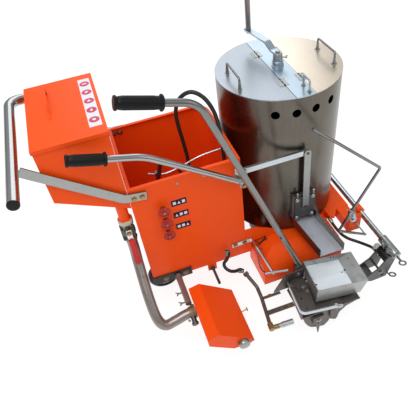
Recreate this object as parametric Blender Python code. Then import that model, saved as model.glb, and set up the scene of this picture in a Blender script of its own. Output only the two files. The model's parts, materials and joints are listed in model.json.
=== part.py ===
"""Line striping machine: a hand-pushed thermoplastic road marker.

Metres, +Z up, +X forward. Every coordinate below is measured from the kettle's axis on
the ground; the machine empty at the end of the parent chain moves that point so that the
finished machine's bounding box is centred over the world's origin.
"""

from math import atan2, cos, pi, radians, sin, sqrt

import bmesh
import bpy
from mathutils import Matrix, Vector

# ---------------------------------------------------------------- driving dimensions
CENTRE_X = -0.34125      # middle of the machine's box, seen from the kettle's axis
CENTRE_Y = -0.12069
GAP = 0.0003             # clearance kept between pieces that touch

TANK_R = 0.230           # kettle shell
TANK_Z0, TANK_Z1 = 0.302, 0.930
SHEET = 0.0025           # sheet-metal thickness of the boxes

BOX_X0, BOX_X1 = -0.650, -0.243      # gas-cylinder box
BOX_Y0, BOX_Y1 = -0.222, 0.174
BOX_Z0, BOX_Z1 = 0.268, 0.751

BEAD_X0, BEAD_X1 = -0.883, -0.6515   # glass-bead box
BEAD_Y0, BEAD_Y1 = -0.216, 0.168
BEAD_Z1 = 0.991
BEAD_LOW_REAR, BEAD_LOW_FRONT = 0.785, 0.665
BEAD_HINGE = (-0.6485, 0.9975)       # x, z of the lid's hinge line

BAR_X, BAR_Z, BAR_R = 0.268, 0.305, 0.0125     # lateral bar that carries the shoe
SHOE_RIM = (0.0468, -0.4543, 0.2410)          # middle of the shoe hopper's rim
SHOE_YAW, SHOE_TILT = radians(-4.0), radians(5.9)

FRONT_WHEEL = (0.020, 0.270, 0.115)  # x, half track, radius
CASTER = (-0.555, -0.060, 0.045, 0.070)       # x, y, trail, radius

HAND_PIVOT = (-0.246, 0.656)         # x, z of the gate hand lever's pivot
LINK_REAR = (-0.243, 0.711)          # x, z of the link's two pins
LINK_FRONT = (0.003, 0.711)
GATE_PIVOT = (0.007, 0.437)
GATE_X = 0.008                       # middle of the paint outlet

COLOURS = {
    "orange": ((0.90, 0.115, 0.018), 0.42, 0.0),
    "stainless": ((0.56, 0.54, 0.50), 0.28, 1.0),
    "zinc": ((0.55, 0.56, 0.54), 0.38, 1.0),
    "chrome": ((0.75, 0.77, 0.80), 0.15, 1.0),
    "dark_steel": ((0.085, 0.080, 0.072), 0.50, 0.8),
    "rubber": ((0.014, 0.014, 0.016), 0.62, 0.0),
    "red": ((0.55, 0.015, 0.012), 0.40, 0.0),
    "brass": ((0.55, 0.38, 0.14), 0.32, 1.0),
}


# ---------------------------------------------------------------- scene helpers
def clear_scene():
    for old in list(bpy.data.objects):
        bpy.data.objects.remove(old)


def material(name):
    found = bpy.data.materials.get(name)
    if found:
        return found
    colour, roughness, metallic = COLOURS[name]
    made = bpy.data.materials.new(name)
    made.use_nodes = True
    shader = made.node_tree.nodes["Principled BSDF"]
    shader.inputs["Base Color"].default_value = (*colour, 1.0)
    shader.inputs["Roughness"].default_value = roughness
    shader.inputs["Metallic"].default_value = metallic
    return made


def empty(name, at, parent=None):
    made = bpy.data.objects.new(name, None)
    made.location = at
    made.parent = parent
    bpy.context.collection.objects.link(made)
    return made


def local_to(parent, at):
    """A point of the machine, seen from a parent empty that isn't turned."""
    origin = Vector(at)
    while parent is not None and parent.name != "machine":
        origin -= parent.location
        parent = parent.parent
    return origin


def piece(name, shape, colour, parent, origin=(0, 0, 0), sharp=35):
    """Makes a named object from a bmesh drawn in machine coordinates."""
    mesh = bpy.data.meshes.new(name)
    bmesh.ops.remove_doubles(shape, verts=shape.verts, dist=0.00001)
    bmesh.ops.translate(shape, verts=shape.verts, vec=-Vector(origin))
    shape.to_mesh(mesh)
    shape.free()
    mesh.shade_smooth()
    mesh.set_sharp_from_angle(angle=radians(sharp))
    made = bpy.data.objects.new(name, mesh)
    made.data.materials.append(material(colour))
    made.parent = parent
    made.location = local_to(parent, origin)
    bpy.context.collection.objects.link(made)
    return made


# ---------------------------------------------------------------- shape helpers
def block(low, high):
    shape = bmesh.new()
    size = [b - a for a, b in zip(low, high)]
    middle = [(a + b) / 2 for a, b in zip(low, high)]
    bmesh.ops.create_cube(shape, size=1.0, matrix=Matrix.Translation(middle) @ Matrix.Diagonal((*size, 1.0)))
    return shape


def closed(shape):
    bmesh.ops.recalc_face_normals(shape, faces=shape.faces)
    return shape


def prism(outline, axis, low, high):
    """Extrudes a closed outline of two coordinates along the third axis."""
    shape = bmesh.new()
    rings = []
    for depth in (low, high):
        ring = []
        for a, b in outline:
            point = {"x": (depth, a, b), "y": (a, depth, b), "z": (a, b, depth)}[axis]
            ring.append(shape.verts.new(point))
        rings.append(ring)
    shape.faces.new(rings[0])
    shape.faces.new(rings[1])
    count = len(outline)
    for i in range(count):
        j = (i + 1) % count
        shape.faces.new((rings[0][i], rings[0][j], rings[1][j], rings[1][i]))
    return closed(shape)


def hexahedron(floor, roof):
    """A block with eight free corners: four below and four above, in the same order."""
    shape = bmesh.new()
    low = [shape.verts.new(p) for p in floor]
    high = [shape.verts.new(p) for p in roof]
    shape.faces.new(low)
    shape.faces.new(high)
    for i in range(4):
        j = (i + 1) % 4
        shape.faces.new((low[i], low[j], high[j], high[i]))
    return closed(shape)


def rod(start, end, radius, sides=16, end_radius=None):
    start, end = Vector(start), Vector(end)
    along = end - start
    turn = along.to_track_quat("Z", "Y").to_matrix().to_4x4()
    shape = bmesh.new()
    bmesh.ops.create_cone(
        shape, cap_ends=True, segments=sides, radius1=radius,
        radius2=radius if end_radius is None else end_radius, depth=along.length,
        matrix=Matrix.Translation((start + end) / 2) @ turn,
    )
    return shape


def turned(profile, centre, axis="z", sides=48):
    """Spins a closed profile of (radius, height) points about an axis."""
    shape = bmesh.new()
    ring = []
    for radius, height in profile:
        ring.append(shape.verts.new((radius, 0, height)))
    edges = [shape.edges.new((ring[i], ring[(i + 1) % len(ring)])) for i in range(len(ring))]
    bmesh.ops.spin(
        shape, geom=edges, cent=(0, 0, 0), axis=(0, 0, 1), angle=2 * pi, steps=sides, use_merge=True,
    )
    bmesh.ops.remove_doubles(shape, verts=shape.verts, dist=0.00002)
    if axis == "y":
        bmesh.ops.rotate(shape, verts=shape.verts, cent=(0, 0, 0), matrix=Matrix.Rotation(-pi / 2, 3, "X"))
    if axis == "x":
        bmesh.ops.rotate(shape, verts=shape.verts, cent=(0, 0, 0), matrix=Matrix.Rotation(pi / 2, 3, "Y"))
    bmesh.ops.translate(shape, verts=shape.verts, vec=centre)
    return closed(shape)


def washer(inner, outer, height):
    """Profile of a tube that stands on its own origin."""
    return [(inner, 0), (outer, 0), (outer, height), (inner, height)]


def disc(radius, height):
    """Profile of a solid puck that stands on its own origin."""
    return [(0, 0), (radius, 0), (radius, height), (0, height)]


def ring_profile(radius, thickness, sides=8):
    return [
        (radius + thickness * cos(2 * pi * i / sides), thickness * sin(2 * pi * i / sides))
        for i in range(sides)
    ]


def rounded(points, radius, steps=5):
    """Replaces each inner corner of a route by an arc of the given radius."""
    route = [Vector(p) for p in points]
    smooth = [route[0]]
    for before, corner, after in zip(route, route[1:], route[2:]):
        back, ahead = (before - corner).normalized(), (after - corner).normalized()
        half = back.angle(ahead) / 2
        reach = radius / abs(sin(half) / cos(half))
        centre = corner + (back + ahead).normalized() * (radius / sin(half))
        first = (corner + back * reach - centre).normalized()
        last = (corner + ahead * reach - centre).normalized()
        for i in range(steps + 1):
            smooth.append(centre + first.slerp(last, i / steps) * radius)
    smooth.append(route[-1])
    return smooth


def swept(points, outline, up=(0, 0, 1)):
    """Carries an outline of (side, up) offsets along a route, with flat ends."""
    shape = bmesh.new()
    rings = []
    for i, point in enumerate(points):
        before, after = points[max(i - 1, 0)], points[min(i + 1, len(points) - 1)]
        along = (Vector(after) - Vector(before)).normalized()
        if rings:
            side = (side - along * side.dot(along)).normalized()
        else:
            side = along.cross(Vector(up)).normalized()
        top = side.cross(along)
        stretch = 1.0
        if 0 < i < len(points) - 1:
            one = (Vector(point) - Vector(before)).normalized()
            two = (Vector(after) - Vector(point)).normalized()
            stretch = 1.0 / max(cos(one.angle(two) / 2), 0.5)
            bend = (two - one)
        ring = []
        for a, b in outline:
            offset = side * a + top * b
            if stretch > 1.0 and bend.length > 1e-6:
                direction = bend.normalized()
                offset += direction * offset.dot(direction) * (stretch - 1.0)
            ring.append(shape.verts.new(Vector(point) + offset))
        rings.append(ring)
    for one, two in zip(rings, rings[1:]):
        for i in range(len(outline)):
            j = (i + 1) % len(outline)
            shape.faces.new((one[i], one[j], two[j], two[i]))
    shape.faces.new(rings[0])
    shape.faces.new(rings[-1])
    return closed(shape)


def circle(radius, sides=12):
    return [(radius * cos(2 * pi * i / sides), radius * sin(2 * pi * i / sides)) for i in range(sides)]


def rectangle(width, height):
    half, rise = width / 2, height / 2
    return [(-half, -rise), (half, -rise), (half, rise), (-half, rise)]


def bent_tube(points, radius, bend, sides=12, steps=5):
    return swept(rounded(points, bend, steps), circle(radius, sides))


def arc(centre, radius, start, end, steps):
    """Points on an arc, with its angles in degrees."""
    made = []
    for i in range(steps + 1):
        angle = radians(start + (end - start) * i / steps)
        made.append((centre[0] + radius * cos(angle), centre[1] + radius * sin(angle)))
    return made


def oval(centre, width, height, start, end, steps):
    """Points on an upright ellipse, with its angles in degrees."""
    angles = [radians(start + (end - start) * i / steps) for i in range(steps + 1)]
    return [(centre[0] + width * cos(a), centre[1] + height * sin(a)) for a in angles]


def boolean(shape, other, operation):
    """Joins or cuts one bmesh with another and returns the result."""
    objects = []
    for source in (shape, other):
        mesh = bpy.data.meshes.new("boolean")
        source.to_mesh(mesh)
        source.free()
        made = bpy.data.objects.new("boolean", mesh)
        bpy.context.collection.objects.link(made)
        objects.append(made)
    modifier = objects[0].modifiers.new("boolean", "BOOLEAN")
    modifier.operation = operation
    modifier.object = objects[1]
    modifier.solver = "EXACT"
    graph = bpy.context.evaluated_depsgraph_get()
    result = bmesh.new()
    result.from_object(objects[0], graph)
    for made in objects:
        mesh = made.data
        bpy.data.objects.remove(made)
        bpy.data.meshes.remove(mesh)
    return result


def joined(first, *others):
    for other in others:
        first = boolean(first, other, "UNION")
    return first


def cut(first, *others):
    for other in others:
        first = boolean(first, other, "DIFFERENCE")
    return first


def smooth_route(points, spacing):
    """Reads evenly spaced points from a Catmull-Rom curve through a route's own points."""
    route = [Vector(p) for p in points]
    route = [2 * route[0] - route[1]] + route + [2 * route[-1] - route[-2]]
    dense = []
    for a, b, c, d in zip(route, route[1:], route[2:], route[3:]):
        for i in range(24):
            t = i / 24
            dense.append(0.5 * ((2 * b) + (c - a) * t + (2 * a - 5 * b + 4 * c - d) * t**2
                                + (3 * b - a - 3 * c + d) * t**3))
    dense.append(route[-2])
    lengths = [0.0]
    for one, two in zip(dense, dense[1:]):
        lengths.append(lengths[-1] + (two - one).length)
    count = max(int(round(lengths[-1] / spacing)), 2)
    even, at = [], 0
    for i in range(count + 1):
        goal = lengths[-1] * i / count
        while at < len(lengths) - 2 and lengths[at + 1] < goal:
            at += 1
        share = (goal - lengths[at]) / max(lengths[at + 1] - lengths[at], 1e-9)
        even.append(dense[at].lerp(dense[at + 1], min(max(share, 0.0), 1.0)))
    return even


def hose(name, route, diameter, colour, parent):
    """A flexible hose: a round tube along a smooth curve through its route."""
    curve = bpy.data.curves.new(name, "CURVE")
    curve.dimensions = "3D"
    curve.bevel_depth = diameter / 2
    curve.bevel_resolution = 2
    curve.use_fill_caps = True
    points = smooth_route(route, diameter * 1.6)
    spline = curve.splines.new("POLY")
    spline.points.add(len(points) - 1)
    for slot, point in zip(spline.points, points):
        slot.co = (*point, 1.0)
    made = bpy.data.objects.new(name, curve)
    made.data.materials.append(material(colour))
    made.parent = parent
    made.location = local_to(parent, (0, 0, 0))
    bpy.context.collection.objects.link(made)
    return made


# ---------------------------------------------------------------- welded frame
def chassis_frame(machine):
    """Rear platform, side plates, floor rails, front deck and the bar's collars."""
    low, high = 0.235, BOX_Z0 - GAP
    rear, front = BOX_X0 + 0.002, -0.2185
    near, far = -0.2225, 0.1745
    rail = 0.030
    shape = cut(
        block((rear, near, low), (front, far, high)),
        block((rear + rail, near + rail, low - 0.1), (-0.600, far - rail, high + 0.1)),
        block((-0.460, near + rail, low - 0.1), (front - rail, far - rail, high + 0.1)),
    )
    side_outline = [
        (-0.2425, low + 0.001), (-0.2185, low + 0.001), (-0.2185, 0.2995), (-0.075, 0.2995), (-0.100, 0.320),
        (-0.125, 0.334), (-0.147, 0.347), (-0.190, 0.370), (-0.2425, 0.375),
    ]
    side_near = prism(side_outline, "y", near, near + 0.004)
    far_outline = side_outline[:3] + [(-0.190, 0.2995), (-0.190, 0.370), (-0.2425, 0.375)]
    side_far = prism(far_outline, "y", far - 0.004, far)
    deck = block((0.1405, -0.200, 0.255), (0.246, 0.200, 0.3005))
    gusset_outline = [(0.1405, -0.195), (0.192, -0.195), (0.160, -0.238), (0.1405, -0.230)]
    gusset = prism(gusset_outline, "z", 0.290, 0.3005)
    parts = [side_near, side_far, deck, gusset]
    for side in (-1, 1):
        inner, outer = sorted((side * 0.155, side * 0.186))
        parts.append(block((-0.2300, inner, 0.2535), (0.150, outer, 0.3000)))
        tie_y = sorted((side * 0.130, side * 0.180))
        parts.append(block((front - 0.020, tie_y[0], 0.240), (front + 0.020, tie_y[1], 0.262)))
        hanger = block((0.000, inner, 0.095), (0.040, outer, 0.260))
        bore = rod((0.020, inner - 0.01, 0.115), (0.020, outer + 0.01, 0.115), 0.0103, 20)
        parts.append(cut(hanger, bore))
        edge = sorted((side * 0.190, side * 0.300))
        if side > 0:
            edge = [0.190, 0.240]
        parts.append(block((0.190, edge[0], 0.250), (0.243, edge[1], 0.2995)))
        collar_y = -0.262 if side < 0 else 0.205
        parts.append(rod((BAR_X, collar_y, BAR_Z), (BAR_X, collar_y + 0.034, BAR_Z), 0.0195, 20))
    arms = [block((0.236, y, 0.290), (0.258, y + 0.026, 0.2995)) for y in (-0.258, 0.209)]
    lug = block((0.190, -0.302, 0.252), (0.246, -0.296, 0.345))
    tab = block((-0.418, near, 0.196), (-0.380, near + 0.006, 0.240))
    parts += [lug, tab] + arms
    shape = joined(shape, *parts)
    bar_hole = rod((BAR_X, -0.6, BAR_Z), (BAR_X, 0.6, BAR_Z), BAR_R + GAP, 24)
    pin_hole = rod((0.205, -0.31, 0.325), (0.205, -0.29, 0.325), 0.0045, 12)
    chamber = rod((0, 0, 0.1), (0, 0, 0.5), 0.1410, 48)
    shape = cut(shape, bar_hole, pin_hole, chamber)
    piece("chassis_frame", shape, "orange", machine)


def wheel_housing(machine, name, side):
    """Rounded, open-bottomed cover over one front wheel; side is -1 for the near wheel."""
    rear, front, inner, low, crown = -0.215, 0.140, 0.1865 + GAP, 0.150, 0.298
    outer = 0.350
    along = [(rear, low)] + oval((rear + 0.085, crown - 0.075), 0.085, 0.075, 180, 90, 6)
    along += oval((front - 0.050, crown - 0.040), 0.050, 0.040, 90, 0, 5) + [(front, low)]
    across = [(inner, low), (inner, crown)] + oval((outer - 0.088, crown - 0.123), 0.088, 0.123, 90, 0, 8)
    across.append((outer, low))
    def shell(inset, bottom):
        middle = (rear + front) / 2
        scale = 1 - 2 * inset / (front - rear)
        one = prism([(middle + (x - middle) * scale, z - inset if z > low else bottom) for x, z in along],
                    "y", min(side * 0.1, side * 0.4), max(side * 0.1, side * 0.4))
        rim = [
            (side * (y + (inset if y == inner else -inset)), z - inset if z > low else bottom)
            for y, z in across
        ]
        return boolean(one, prism(rim, "x", rear - 0.1, front + 0.1), "INTERSECT")
    shape = cut(shell(0, low), shell(0.0025, low - 0.05))
    slot = sorted((side * (inner - 0.01), side * (inner + 0.01)))
    shape = cut(shape, block((0.005, slot[0], low - 0.01), (0.035, slot[1], low + 0.02)))
    piece(name, shape, "orange", machine)


def lateral_bar(machine):
    piece("lateral_bar", rod((BAR_X, -0.530, BAR_Z), (BAR_X, 0.245, BAR_Z), BAR_R, 20), "chrome", machine)


# ---------------------------------------------------------------- boxes
def box_outline(inset):
    """The gas box seen from above; its front far corner is rounded."""
    corner = 0.060
    x0, x1 = BOX_X0 + inset, BOX_X1 - inset
    y0, y1 = BOX_Y0 + inset, BOX_Y1 - inset
    radius = corner - inset
    return [(x0, y0), (x1, y0)] + arc((x1 - radius, y1 - radius), radius, 0, 90, 8) + [(x0, y1)]


def gas_box(machine):
    """Open-topped box for the gas cylinder, with a folded rim."""
    rim = 0.013
    shape = cut(
        prism(box_outline(0), "z", BOX_Z0, BOX_Z1),
        prism(box_outline(SHEET), "z", BOX_Z0 + SHEET, BOX_Z1 - 0.003),
        prism(box_outline(rim), "z", BOX_Z1 - 0.02, BOX_Z1 + 0.1),
    )
    for _, z in knob_places():
        shape = cut(shape, rod((-0.547, BOX_Y0 - 0.01, z), (-0.547, BOX_Y0 + 0.01, z), 0.0083, 12))
    piece("gas_box", shape, "orange", machine)


def bead_box(machine):
    """Hopper for glass beads, whose floor slopes forward to the outlet."""
    def outline(inset, top):
        return [
            (BEAD_X0 + inset, BEAD_LOW_REAR + inset), (BEAD_X1 - inset, BEAD_LOW_FRONT + inset),
            (BEAD_X1 - inset, top), (BEAD_X0 + inset, top),
        ]
    shape = cut(
        prism(outline(0, BEAD_Z1), "y", BEAD_Y0, BEAD_Y1),
        prism(outline(SHEET, BEAD_Z1 + 0.05), "y", BEAD_Y0 + SHEET, BEAD_Y1 - SHEET),
        rod((-0.6855, -0.190, 0.60), (-0.6855, -0.190, 0.80), 0.0150, 20),
    )
    piece("bead_box", shape, "orange", machine)


def bead_lid(machine):
    hinge_x, hinge_z = BEAD_HINGE
    body = empty("bead_lid_axis", (hinge_x, 0, hinge_z), machine)
    lip, sheet = 0.014, 0.0025
    x0, x1 = BEAD_X0 - 0.0035, hinge_x
    y0, y1 = BEAD_Y0 - 0.0035, BEAD_Y1 + 0.0035
    top = hinge_z - 0.001
    shape = cut(
        block((x0, y0, top - lip), (x1, y1, top)),
        block((x0 + sheet, y0 + sheet, top - lip - 0.1), (x1 + 0.1, y1 - sheet, top - sheet)),
    )
    grip_x, y_near, y_far, rise = -0.812, -0.070, 0.120, 0.030
    route = [
        (grip_x, y_near, top + 0.0010), (grip_x, y_near + 0.024, top + 0.0010),
        (grip_x, y_near + 0.040, top + rise), (grip_x, y_far - 0.040, top + rise),
        (grip_x, y_far - 0.024, top + 0.0010), (grip_x, y_far, top + 0.0010),
    ]
    strap = swept(rounded(route, 0.012, 3), rectangle(0.008, 0.004))
    piece("bead_lid", joined(shape, strap), "orange", body, (hinge_x, 0, hinge_z))


# ---------------------------------------------------------------- bead feed
OUTLET = (-0.6855, -0.190)


def bead_outlet(machine):
    """Spout under the bead box, with the pale union nut at its foot."""
    x, y = OUTLET
    slope = (BEAD_LOW_FRONT - BEAD_LOW_REAR) / (BEAD_X1 - BEAD_X0)
    top = BEAD_LOW_REAR + slope * (x - BEAD_X0)
    spout = turned(washer(0.0165, 0.0200, 0.110), (x, y, 0.602), "z", 18)
    reach = 0.05
    low_rear, low_front = top - slope * reach - GAP, top + slope * reach - GAP
    floor = [(x - reach, low_rear), (x + reach, low_front), (x + reach, 0.9), (x - reach, 0.9)]
    spout = cut(spout, prism(floor, "y", y - reach, y + reach))
    nut = turned(washer(0.0165, 0.0255, 0.020), (x, y, 0.590), "z", 6)
    piece("bead_outlet", joined(spout, nut), "orange", machine)


def bead_valve(machine):
    x, y = OUTLET
    profile = [
        (0.0150, 0.500), (0.0240, 0.500), (0.0240, 0.514), (0.0200, 0.518), (0.0265, 0.536),
        (0.0265, 0.556), (0.0200, 0.572), (0.0240, 0.576), (0.0240, 0.5897), (0.0150, 0.5897),
    ]
    boss = rod((x, y - 0.018, 0.580), (x, y - 0.052, 0.580), 0.008, 10)
    shape = joined(turned(profile, (x, y, 0), "z", 18), boss)
    piece("bead_valve", shape, "zinc", machine)
    stem = (x, y - 0.056, 0.580)
    body = empty("bead_valve_axis", stem, machine)
    plate = block((x - 0.009, y - 0.0558, 0.545), (x + 0.009, y - 0.0523, 0.591))
    grip = block((x - 0.010, y - 0.0620, 0.408), (x + 0.010, y - 0.0495, 0.553))
    bmesh.ops.bevel(grip, geom=grip.edges[:], offset=0.004, segments=2, affect="EDGES")
    piece("bead_valve_lever", joined(plate, grip), "red", body, stem)


def bead_feed_pipe(machine):
    """Bent pipe from the valve down and forward to the bead spreader."""
    x, y = OUTLET
    route = [
        (x, y, 0.4992), (x, y, 0.470), (x, y - 0.006, 0.440), (-0.688, -0.232, 0.390),
        (-0.689, -0.335, 0.300), (-0.682, -0.396, 0.240), (-0.660, -0.414, 0.207), (-0.620, -0.410, 0.206),
        (-0.580, -0.405, 0.213), (-0.5370, -0.402, 0.219),
    ]
    piece("bead_feed_pipe", swept(smooth_route(route, 0.028), circle(0.0205, 14)), "zinc", machine)


def bead_spreader(machine):
    """Wedge-shaped housing with a dosing roller over a slot in its floor."""
    outline = [
        (-0.530, 0.240), (-0.484, 0.250), (-0.350, 0.135), (-0.362, 0.117), (-0.433, 0.117), (-0.528, 0.196),
    ]
    inner = [
        (-0.5265, 0.2375), (-0.4850, 0.2465), (-0.3545, 0.1348), (-0.364, 0.1205), (-0.432, 0.1205),
        (-0.5250, 0.1970),
    ]
    y0, y1, wall = -0.559, -0.309, 0.0025
    shape = cut(
        prism(outline, "y", y0, y1),
        prism(inner, "y", y0 + wall, y1 - wall),
        block((-0.420, y0 + 0.012, 0.10), (-0.368, y1 - 0.012, 0.13)),
        rod((-0.394, y0 - 0.01, 0.144), (-0.394, y1 + 0.01, 0.144), 0.0053, 16),
        rod((-0.545, -0.402, 0.217), (-0.515, -0.402, 0.217), 0.0165, 20),
    )
    piece("bead_spreader", shape, "orange", machine)
    centre = (-0.394, (y0 + y1) / 2, 0.144)
    body = empty("bead_roller_axis", centre, machine)
    cap_profile = [(0, 0), (0.018, 0), (0.0235, 0.006), (0.0235, 0.020), (0, 0.020)]
    cap = turned(cap_profile, (centre[0], y0 - 0.0215, centre[2]), "y", 24)
    roller = joined(
        rod((centre[0], y0 + 0.006, centre[2]), (centre[0], y1 - 0.006, centre[2]), 0.014, 16),
        rod((centre[0], y0 - 0.010, centre[2]), (centre[0], y1 + 0.004, centre[2]), 0.005, 16),
        cap,
    )
    piece("bead_roller", roller, "dark_steel", body, centre)


def spreader_bracket(machine):
    """Plate on the platform's near rail, with the post that holds the spreader."""
    y = -0.2228
    plate = block((-0.654, y - 0.005, 0.222), (-0.488, y, 0.2665))
    post = rod((-0.5500, y - 0.003, 0.243), (-0.5490, -0.3805, 0.243), 0.0125, 16)
    piece("spreader_bracket", joined(plate, post), "dark_steel", machine)
    stay = rod((-0.398, -0.2229, 0.206), (-0.398, -0.3087, 0.206), 0.006, 12)
    end = rod((-0.398, -0.2228, 0.206), (-0.398, -0.2268, 0.206), 0.011, 6)
    piece("spreader_stay", joined(stay, end), "dark_steel", machine)


# ---------------------------------------------------------------- push bar
PUSH_X, PUSH_Z, PUSH_R = -0.9515, 0.957, 0.0185


def push_bar(machine):
    far = 0.2030
    route = [
        (PUSH_X, -0.384, PUSH_Z), (PUSH_X, far, PUSH_Z), (-0.855, far, 0.935), (-0.655, far, 0.716),
        (-0.575, far, 0.710),
    ]
    smooth = rounded(route[:3], 0.060, 7)[:-1] + rounded([route[1]] + route[2:], 0.050, 4)[1:]
    piece("push_bar", swept(smooth, circle(PUSH_R, 14)), "chrome", machine)


def push_bar_strap(machine):
    """Flat bar from the push bar to the gas box's near wall."""
    y = -0.2280
    route = [(-0.936, y, 0.9470), (-0.905, y, 0.9210), (-0.664, y, 0.7260), (-0.590, y, 0.7160)]
    bar = swept(rounded(route, 0.030, 4), rectangle(0.005, 0.034))
    pad = block((-0.648, y - 0.0015, 0.7060), (-0.594, BOX_Y0 - GAP, 0.7280))
    hole = rod((PUSH_X, y - 0.1, PUSH_Z), (PUSH_X, y + 0.1, PUSH_Z), PUSH_R + GAP, 24)
    piece("push_bar_strap", cut(joined(bar, pad), hole), "zinc", machine)


# ---------------------------------------------------------------- kettle
def tank_shell(machine):
    wall = 0.003
    profile = [
        (0.132, TANK_Z0), (TANK_R, TANK_Z0), (TANK_R, TANK_Z1), (0.1950, TANK_Z1), (0.1950, TANK_Z1 - wall),
        (TANK_R - wall, TANK_Z1 - wall), (TANK_R - wall, TANK_Z0 + wall), (0.132, TANK_Z0 + wall),
    ]
    shape = turned(profile, (0, 0, 0), "z", 56)
    first, step, height, radius = -26.2, 18.1, 0.874, 0.0155
    for turn in (0, 180):
        for i in range(4):
            angle = radians(first + step * i + turn)
            reach = Vector((sin(angle), -cos(angle), 0))
            start, end = reach * 0.21, reach * 0.25
            shape = cut(shape, rod((start.x, start.y, height), (end.x, end.y, height), radius, 12))
    shape = cut(shape, block((GATE_X - 0.026, -0.26, 0.392), (GATE_X + 0.026, -0.20, 0.436)))
    piece("tank_shell", shape, "stainless", machine)


def tank_pot(machine):
    """Inner pot that holds the hot paint, with its outlet duct to the gate."""
    outer, wall, low, high = 0.190, 0.003, 0.372, 0.9265
    inner = outer - wall
    profile = [(0, low), (outer, low), (outer, high), (inner, high), (inner, low + wall), (0, low + wall)]
    duct = block((GATE_X - 0.024, -0.2270, 0.394), (GATE_X + 0.024, -0.180, 0.434))
    shape = joined(turned(profile, (0, 0, 0), "z", 32), duct)
    shape = cut(shape, block((GATE_X - 0.021, -0.25, 0.397), (GATE_X + 0.021, -0.170, 0.431)))
    piece("tank_pot", shape, "stainless", machine)


def burner(machine):
    """Round fire chamber under the kettle; a spoke carries the gas ring inside it."""
    chamber = turned([(0.137, 0.130), (0.140, 0.130), (0.140, 0.3017), (0.137, 0.3017)], (0, 0, 0), "z", 32)
    ring = turned(ring_profile(0.080, 0.010, 6), (0, 0, 0.235), "z", 20)
    spoke = rod((-0.1385, 0, 0.235), (-0.072, 0, 0.235), 0.008, 10)
    piece("burner", joined(chamber, ring, spoke), "dark_steel", machine)


STRIP_X0, STRIP_X1, STRIP_Z = -0.033, 0.037, 0.9338      # cross strip between the lid halves


def chord(radius, x):
    return sqrt(radius * radius - x * x)


def lid_strip(machine):
    """Fixed cross strip with the stirrer's bearing in its middle."""
    y0, y1 = chord(TANK_R, STRIP_X0), chord(TANK_R, STRIP_X1)
    low = TANK_Z1 + GAP
    outline = [(STRIP_X0, -y0), (STRIP_X1, -y1), (STRIP_X1, y1), (STRIP_X0, y0)]
    bearing = turned(disc(0.022, 0.016), (0, 0, STRIP_Z - 0.001), "z", 24)
    shape = joined(prism(outline, "z", low, STRIP_Z), bearing)
    route = [(0.020, -0.210, low), (0.020, -0.210, 0.975), (0.020, -0.165, 0.975), (0.020, -0.165, low)]
    handle = swept(rounded(route, 0.010, 3), circle(0.0035, 8), (1, 0, 0))
    shape = joined(shape, cut(handle, block((-0.1, -0.3, 0.8), (0.1, 0.3, low + 0.0005))))
    shape = cut(shape, rod((0, 0, 0.9), (0, 0, 1.0), 0.0108, 20))
    piece("lid_strip", shape, "stainless", machine)


def half_lid(machine, name, side):
    """One lid half; side is -1 for the rear one. It turns on the strip's edge."""
    edge = STRIP_X0 - 0.0012 if side < 0 else STRIP_X1 + 0.0012
    radius = TANK_R + 0.0005
    angle = 90 - abs(atan2(abs(edge), chord(radius, edge))) * 180 / pi
    middle = 180 if side < 0 else 0
    outline = arc((0, 0), radius, middle - angle, middle + angle, 28)
    low, high = TANK_Z1 + GAP, TANK_Z1 + GAP + 0.003
    hinge = (edge, 0, high + 0.0015)
    body = empty(name + "_axis", hinge, machine)
    shape = prism(outline, "z", low, high)
    x, y_near, y_far = side * 0.180, -0.085, 0.040
    rise = 0.040 if side < 0 else 0.043
    foot, top = high - 0.001, high + rise
    route = [(x, y_near, foot), (x, y_near, top), (x, y_far, top), (x, y_far, foot)]
    bail = swept(rounded(route, 0.012, 3), circle(0.0040, 8), (1, 0, 0))
    piece(name, joined(shape, bail), "stainless", body, hinge)


def stirrer(machine):
    """Crank, shaft and paddles turn together; the hand sleeve turns on the crank."""
    body = empty("stirrer_axis", (0, 0, 0), machine)
    top = STRIP_Z + 0.015 + GAP
    shaft = joined(
        rod((0, 0, 0.395), (0, 0, top + 0.010), 0.010, 20),
        block((-0.150, -0.003, 0.400), (0.150, 0.003, 0.450)),
        block((-0.003, -0.150, 0.520), (0.003, 0.150, 0.560)),
        block((-0.130, -0.003, 0.640), (0.130, 0.003, 0.670)),
    )
    piece("stirrer", shaft, "dark_steel", body)
    hub = turned(washer(0.0103, 0.0170, 0.031), (0, 0, top), "z", 24)
    cap = turned(disc(0.0170, 0.004), (0, 0, top + 0.0305), "z", 24)
    outer, inner = Vector((-0.037, 0.184, 1.002)), Vector((0, 0, 0.982))
    flat = Vector((outer.x, outer.y, 0)).normalized()
    route = [
        inner, inner + flat * 0.028, inner + flat * 0.066 + Vector((0, 0, 0.020)), outer + flat * 0.012,
    ]
    arm = swept(route, rectangle(0.026, 0.006))
    pin = rod((outer.x, outer.y, 1.000), (outer.x, outer.y, 1.135), 0.006, 12)
    under = rod((outer.x, outer.y, 0.990), (outer.x, outer.y, 1.001), 0.0085, 6)
    crank = joined(hub, cap, arm, pin, under)
    piece("crank", crank, "zinc", body)
    sleeve_body = empty("crank_sleeve_axis", (outer.x, outer.y, 1.07), body)
    profile = [
        (0.0064, 1.006), (0.0100, 1.006), (0.0100, 1.142), (0.0085, 1.146), (0, 1.146), (0, 1.138),
        (0.0064, 1.138),
    ]
    sleeve = turned(profile, (outer.x, outer.y, 0), "z", 20)
    piece("crank_sleeve", sleeve, "chrome", sleeve_body, (outer.x, outer.y, 1.07))


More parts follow.
